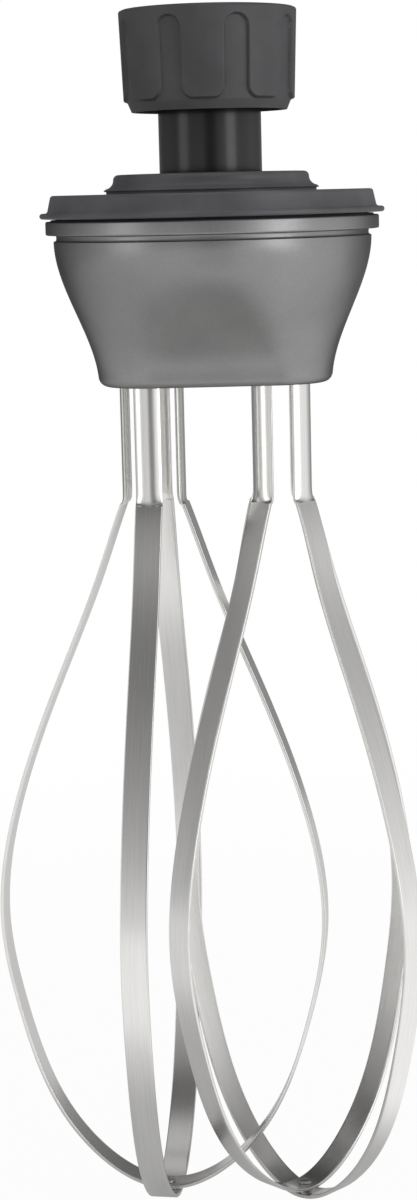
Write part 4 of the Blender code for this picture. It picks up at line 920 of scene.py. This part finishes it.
def make_dog():
    """The drive dog: a turned boss with a hexagonal socket and a lead-in chamfer."""
    profile = rounded(
        [
            (0, DOG_LOW.z + DOG_BORE_DEPTH),
            (SHAFT_HOLE, DOG_LOW.z + DOG_BORE_DEPTH),
            (SHAFT_HOLE, DOG_LOW.z),
            (DOG_RADIUS, DOG_LOW.z),
            (DOG_RADIUS, DOG_HIGH.z),
            (0, DOG_HIGH.z),
        ],
        DOG_EDGE,
    )
    look = LOOKS["steel"]
    dog = turned("drive_dog_visible", profile, look, wrap=False)
    top = DOG_HIGH.z
    socket = prism("socket", hexagon(DOG_HEX_ACROSS), top - DOG_HEX_DEPTH, top + MM, look)
    cut(dog, [socket])
    settle(dog, "input_drive", "steel", "drive_dog")


def make_whisks():
    """Both whisks: wide loop, narrow loop at a right angle below it, rivet and hub."""
    whisks = (("left", -1, LEFT_TURN, LEFT_SPLAY, 0.0), ("right", 1, RIGHT_TURN, RIGHT_SPLAY, RIGHT_DROP))
    for side, sign, turn, splay, drop in whisks:
        centre, lean, body = sign * WHISK_OFFSET, sign * splay, f"{side}_whisk"
        make_loop(f"{side}_wide_loop", WIDE_REACH, drop, turn, lean, centre, body)
        quarter = turn + math.pi / 2
        lower = drop + NARROW_DROP
        make_loop(f"{side}_narrow_loop", NARROW_REACH, lower, quarter, lean, centre, body)
        make_rivet(f"{side}_rivet", drop, lean, centre, body)
        make_hub(f"{side}_hub", turn, centre, body)


# Camera and studio
CAMERA_DISTANCE = 0.6947
CAMERA_X = -1.5 * MM
CAMERA_Z = -37.3 * MM
CAMERA_PITCH = 0.169
CAMERA_YAW = 0.0032
CAMERA_ROLL = -0.0248
FRAME_HEIGHT = 1200
FOCAL_PIXELS = 2386
SENSOR = 36.0
FLOOR = -0.3437
FLOOR_RADIUS = 0.9
LAMP_TARGET = -120 * MM  # height that the lamps look at
LAMP_DISTANCE = 1.3
TOP_LAMP_DISTANCE = 1.4
SHADE_LEVEL = 0.6  # the even grey that other rays than mirrored ones find


def make_camera():
    """A camera at the photo's angle: slightly above, looking down at the whisks."""
    data = bpy.data.cameras.new("camera")
    data.sensor_width = SENSOR
    data.lens = SENSOR * FOCAL_PIXELS / FRAME_HEIGHT
    data.clip_start = 0.05
    camera = bpy.data.objects.new("camera", data)
    camera.location = (CAMERA_X, -CAMERA_DISTANCE, CAMERA_Z)
    camera.rotation_mode = "XYZ"
    level = Matrix.Rotation(CAMERA_YAW, 4, "Z") @ Matrix.Rotation(math.pi / 2 - CAMERA_PITCH, 4, "X")
    camera.rotation_euler = (level @ Matrix.Rotation(CAMERA_ROLL, 4, "Z")).to_euler()
    bpy.context.scene.collection.objects.link(camera)
    bpy.context.scene.camera = camera


def front_gap(x, y):
    """How dark the gap between the two front softboxes is, by direction: it lies round the camera. In the
    world this is light; on the floor's glow it is painted shade.
    """
    return 0.75 * x.above(-0.3, -0.1) * (1 - x.above(0.12, 0.36)) * (1 - y.above(-0.6, 0.0))


def dimmed(y):
    """The share of light that comes from a direction: less from behind the part. On the floor's glow this
    is painted shade behind the part.
    """
    return 1 - 0.68 * y.above(0.1, 0.8)


def make_floor():
    """A wide pale floor. The camera sees it almost white, and it keeps the part's soft shadow. Its glow
    for mirrored rays is painted light: a painted shadow under the part that grows paler further out,
    painted softbox reflections to the sides, brighter on the right, and painted shade in the front gap and
    behind the part."""
    mesh = bpy.data.meshes.new("floor")
    angles = np.arange(AROUND) * 2 * math.pi / AROUND
    x, y = FLOOR_RADIUS * np.cos(angles), FLOOR_RADIUS * np.sin(angles)
    rim = np.column_stack([x, y, angles * 0 + FLOOR])
    mesh.from_pydata(rim, [], [list(range(AROUND))])
    look = bpy.data.materials.new("floor")
    look.use_nodes = True
    tree = look.node_tree
    tree.nodes.clear()
    paint = node(tree, "ShaderNodeBsdfDiffuse", None, {"Color": (0.4, 0.4, 0.4, 1)})[0]
    glow = node(tree, "ShaderNodeEmission", None, {"Color": (1, 1, 1, 1), "Strength": 1.0})[0]
    ray = node(tree, "ShaderNodeLightPath")
    place = node(tree, "ShaderNodeTexCoord")[3]
    flat = node(tree, "ShaderNodeVectorMath", {"operation": "MULTIPLY"}, {0: place, 1: (1, 1, 0)})[0]
    far = node(tree, "ShaderNodeVectorMath", {"operation": "LENGTH"}, {0: flat})[1]
    seen = 0.97 + 0.03 * far.above(FLOOR_RADIUS * 0.2, FLOOR_RADIUS * 0.8)
    way = node(tree, "ShaderNodeVectorMath", {"operation": "NORMALIZE"}, {0: flat})[0]
    x, y, _ = node(tree, "ShaderNodeSeparateXYZ", None, {0: way})
    # Painted light on the floor's glow for mirrored rays: low near the middle as a painted shadow under
    # the part, raised to the sides as painted softbox reflections, and cut by painted shade in the front
    # gap and behind the part.
    side = x * x * (0.6 + 0.2 * x)
    gap = front_gap(x, y) * far.above(0.14, 0.24)
    reach = far * (1 + 0.3 * x)
    mirrored = 0.22 + reach.above(0.065, 0.13) * (side + y * y * 0.78) * (1 - gap) * dimmed(y)
    white = seen * (ray[0] + ray[6]) + mirrored * ray[3]
    shown = node(tree, "ShaderNodeMixShader", None, {0: white, 1: paint, 2: glow})[0]
    node(tree, "ShaderNodeOutputMaterial", None, {0: shown})
    mesh.materials.append(look)
    floor = bpy.data.objects.new("floor", mesh)
    bpy.context.scene.collection.objects.link(floor)


def make_world():
    """A light tent: white to the camera. Metal mirrors it pale at the horizon and overhead and darker
    between them, a little more so on the left, and much more behind the part and in the front gap.
    Other surfaces see an even grey."""
    world = bpy.data.worlds.new("tent")
    world.use_nodes = True
    bpy.context.scene.world = world
    tree = world.node_tree
    tree.nodes.clear()
    direction = node(tree, "ShaderNodeTexCoord")[0]
    x, y, z = node(tree, "ShaderNodeSeparateXYZ", None, {0: direction})
    horizon = 1 - z.above(-0.1, 0.5)
    above = 0.3 + 0.1 * x - 0.14 * z.above(0.45, 0.6) + 0.4 * z.above(0.75, 0.92)
    level = above + horizon * (0.55 + 0.1 * x - 0.15 * x * x)
    ray = node(tree, "ShaderNodeLightPath")
    seen = ray[0] + ray[6]
    gap = front_gap(x, y) * (1 - z.above(0.2, 0.4))
    strength = seen + ray[3] * level * (1 - gap) * dimmed(y) + (1 - seen - ray[3]) * SHADE_LEVEL
    glow = node(tree, "ShaderNodeBackground", None, {0: (1, 1, 1, 1), 1: strength})[0]
    node(tree, "ShaderNodeOutputWorld", None, {0: glow})


def make_lamp(name, azimuth, elevation, distance, size, power, mirrored):
    """A soft oblong lamp that looks at the gearbox. Its azimuth is counted from the camera's side
    towards +X, and its power is in watts. Metal and gloss mirror it only when asked."""
    data = bpy.data.lights.new(name, "AREA")
    data.shape = "RECTANGLE"
    data.size, data.size_y = size
    data.energy = power
    lamp = bpy.data.objects.new(name, data)
    lamp.visible_glossy = mirrored
    a, e = math.radians(azimuth), math.radians(elevation)
    way = Vector((math.sin(a) * math.cos(e), -math.cos(a) * math.cos(e), math.sin(e)))
    target = Vector((0.0, 0.0, LAMP_TARGET))
    lamp.location = target + way * distance
    lamp.rotation_euler = way.to_track_quat("Z", "Y").to_euler()
    bpy.context.scene.collection.objects.link(lamp)


def make_lamps():
    """Two softboxes that gloss mirrors, a wide one from the right, and one overhead."""
    make_lamp("key", 47, 4, LAMP_DISTANCE, (0.5, 1.1), 3.0, True)
    make_lamp("fill", -62, 4, LAMP_DISTANCE, (0.5, 1.1), 1.8, True)
    make_lamp("side", 62, 8, LAMP_DISTANCE, (0.9, 1.3), 7.0, False)
    make_lamp("top", 0, 80, TOP_LAMP_DISTANCE, (0.9, 0.9), 4.0, False)


finish_frame_nodes()
make_nut()
make_neck()
make_cover()
make_screws()
make_housing()
make_dog()
make_whisks()
make_camera()
make_floor()
make_world()
make_lamps()
bpy.context.scene.view_settings.view_transform = "Standard"
